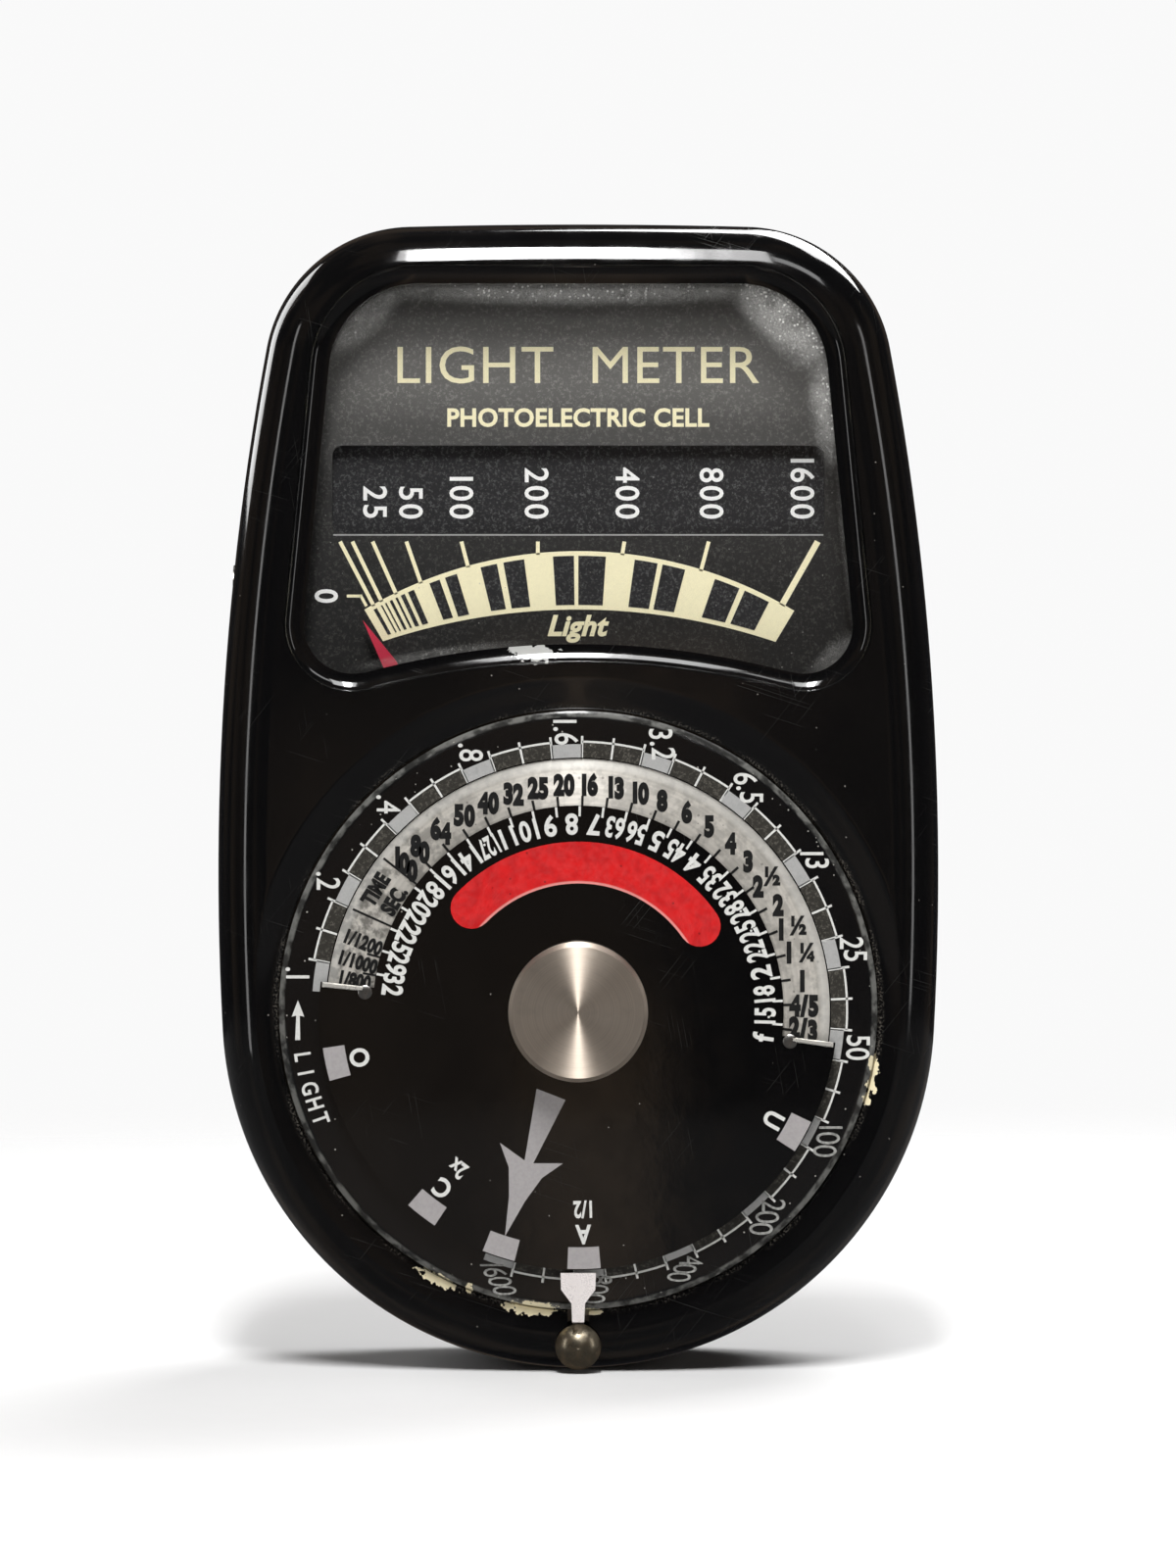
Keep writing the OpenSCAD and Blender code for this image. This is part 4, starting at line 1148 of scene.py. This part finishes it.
def dial_plate_print():
    cream = [band_cell(*BAND_ENDS, 0, 48)]
    for top, foot in SCALE_TICKS:
        foot_y = PIVOT[1] + sqrt(BAND_OUT_R ** 2 - foot ** 2) - 0.15
        width = 0.55 if top > 20 else 0.34
        cream.append(bar((foot, foot_y), (top, SLOT_LOW - 0.75), width))
    cream.append(bar((-20.6, 36.6), (-19.35, 36.6), 0.26))
    cream.append(bar((-19.4, 36.7), (-18.85, 35.7), 0.26))
    black = [band_cell(a0, a1, BAND_MARGIN, 3) for a0, a1 in BLACK_BLOCKS]
    labels = [("Light", 0, 34, 0, 1.95, 1, 0.035, 0.28),
              ("LIGHT  METER", 0, 57.2, 0, 3.3, 1.05, 0),
              ("PHOTOELECTRIC CELL", 0, 52.5, 0, 1.7, 0.98, 0.03)]
    zero = ("0", -22.4, 36.6, -90, 2.1, 0.9, 0.02)
    # A painted highlight: a thin silver line along the slot's lower edge, where the edge catches
    # the light.
    edge = SLOT_LOW - 0.16
    slot_highlight_line = bar((-21.8, edge), (21.8, edge), 0.13)
    marks("slot_edge_highlight", [slot_highlight_line], PLATE_FACE, "silver_ink")
    lettering("scale_zero", [zero], PLATE_FACE, "white_ink_painted_bright")
    marks("scale_band", cream, PLATE_FACE, "cream_ink")
    marks("scale_blocks", black, PLATE_FACE, "number_plate", 0.03)
    lettering("scale_figures", labels, PLATE_FACE, "cream_ink")


NUMBER_X = [-18.1, -14.9, -10.4, -3.7, 4.4, 11.9, 20]
HIGH_RANGE = ["25", "50", "100", "200", "400", "800", "1600"]
LOW_RANGE = ["1", "2", "3", "6", "13", "25", "50"]
NUMBER_FOOT = 43.55


def standing_down(text, x, foot):
    """Figures turned a quarter clockwise, one under another, the last one standing at foot."""
    labels, y = [], foot - 0.18
    for c in reversed(text):
        step = 0.95 if c == "1" else 1.62
        labels.append((c, x, y + step / 2, -90, 2.15, 0.95, 0.012))
        y += step
    return labels


def number_plate_print():
    """Two rows of turned figures. The slide shows the lower range when the baffle is open."""
    labels = []
    for row, lift in ((HIGH_RANGE, 0), (LOW_RANGE, NUMBER_SHIFT)):
        for text, x in zip(row, NUMBER_X):
            labels += standing_down(text, x, NUMBER_FOOT + lift)
    lettering("number_figures", labels, NUMBER_FACE, "white_ink_painted_bright")


# ---- Stage, light and camera ----

FLOOR_R, FADE_START = 0.42, 0.12    # metres


def stage_floor():
    """A pale floor that fades into the background, and all but vanishes from reflections."""
    rim = level(circle((0, 0), FLOOR_R / MM, 96), 0)
    ground = make("floor", [(rim, [tuple(range(len(rim)))])])
    ground.data.transform(Matrix.Scale(MM, 4))
    f = Finish("floor", rough=0.7)
    fade = f.ramp(f.length(f.place), FADE_START, FLOOR_R * 0.95)
    mirrored_ray = f.add("LightPath")["Is Glossy Ray"]
    fade = f.larger(fade, f.times(mirrored_ray, 0.94))
    f.set(base_color=f.mix(f.noise(3, 3), (0.83, 0.83, 0.83), (0.85, 0.85, 0.85)))
    f.show(f.blend(fade, f.shader.outputs[0], f.add("BsdfTransparent")[0]))
    ground.data.materials.append(f.material)


# Warm patches of the dim room, which the gloss picks up. Left, right, low and high are
# directions as seen from the object. Then come softness and strength.
ROOM_PATCHES = [(-0.012, 0.013, -0.6, -0.04, 0.0025, 0.56),
                (-0.07, 0.013, -0.6, 0.012, 0.0025, 0.14),
                (-0.056, -0.034, -0.2, 0.012, 0.006, 0.24),
                (-0.02, 0.03, 0.012, 0.02, 0.008, 0.8)]


def world():
    """A near-white backdrop, over a dim warm room for reflections."""
    scene_world = bpy.data.worlds.new("studio")
    bpy.context.scene.world = scene_world
    scene_world.use_nodes = True
    room = Nodes(scene_world.node_tree)
    ahead = room.add("TexCoord")["Generated"]
    part = room.axes(ahead)
    patches = room.ramp(room.cloud(ahead, 2.2, 1.5), 0.45, 0.66, 0, 0.12)
    in_front = room.math("LESS_THAN", part["Y"], 0)
    for left, right, low, high, soft, strength in ROOM_PATCHES:
        patch = room.times(room.band(part["X"], left, right, soft),
                           room.band(part["Z"], low, high, soft * 2))
        patches = room.larger(patches, room.times(room.times(patch, in_front), strength))
    glow = room.mix(patches, (0.016, 0.016, 0.018), (0.62, 0.45, 0.31))
    light = room.add("Background", {0: glow})[0]
    backdrop = room.add("Background", {0: (0.95, 0.95, 0.95, 1)})[0]
    seen = room.add("LightPath")["Is Camera Ray"]
    room.link(room.blend(seen, light, backdrop), room.node("OutputWorld").inputs[0])


CENTRE = Vector((0, 0, (CAD_BOX[0].z + CAD_BOX[1].z) / 2))


def softbox(name, azimuth, elevation, distance, size, radiance, shift=(0, 0)):
    """An area light aimed at the object. Azimuth 0 is in front of the face, 90 on its right."""
    data = bpy.data.lights.new(name, "AREA")
    data.shape, data.size, data.size_y = "RECTANGLE", *size
    data.energy = radiance * pi * size[0] * size[1]
    lamp = add_object(name, data)
    a, e = radians(azimuth), radians(elevation)
    out = Vector((sin(a) * cos(e), -cos(a) * cos(e), sin(e)))
    turn = out.to_track_quat("Z", "Y")
    lamp.rotation_euler = turn.to_euler()
    lamp.location = CENTRE + out * distance + turn @ Vector((*shift, 0))


def lights():
    softbox("overhead", 0, 56, 0.6, (0.06, 0.3), 47, shift=(-0.012, 0))
    softbox("overhead_wide", 0, 56, 0.61, (0.2, 0.26), 9, shift=(0.02, 0))
    softbox("overhead_right", 0, 54, 0.6, (0.24, 0.1), 4, shift=(0.25, 0))
    softbox("left_strip", -62, 8, 0.7, (0.06, 0.45), 2.8)
    softbox("right_strip", 66, 10, 0.7, (0.07, 0.4), 2.4)
    softbox("rear", 150, 48, 0.8, (0.5, 0.4), 9)
    softbox("rear_left", -130, 25, 0.9, (0.3, 0.5), 4)


def camera():
    """Square at the face. frame_height is what the picture's height takes in, in metres."""
    distance, frame_height = 0.46, 0.1378
    aside, above = 0.00086, 0.00106
    data = bpy.data.cameras.new("camera")
    data.sensor_fit, data.sensor_height, data.sensor_width = "VERTICAL", 24, 24
    data.lens = data.sensor_height * distance / frame_height
    data.clip_start = 0.01
    eye = add_object("camera", data)
    eye.location = (aside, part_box("case_front")[0].y - distance, CENTRE.z + above)
    eye.rotation_euler = (pi / 2, 0, 0)
    bpy.context.scene.camera = eye


finish_cad_nodes()
case_front_shell()
case_back_shell()
cell_lens()
light_ring_print()
time_ring_print()
exposure_disc_print()
disc_edges()
dial_plate_print()
number_plate_print()
stage_floor()
world()
lights()
camera()
bpy.context.scene.view_settings.view_transform = "Standard"
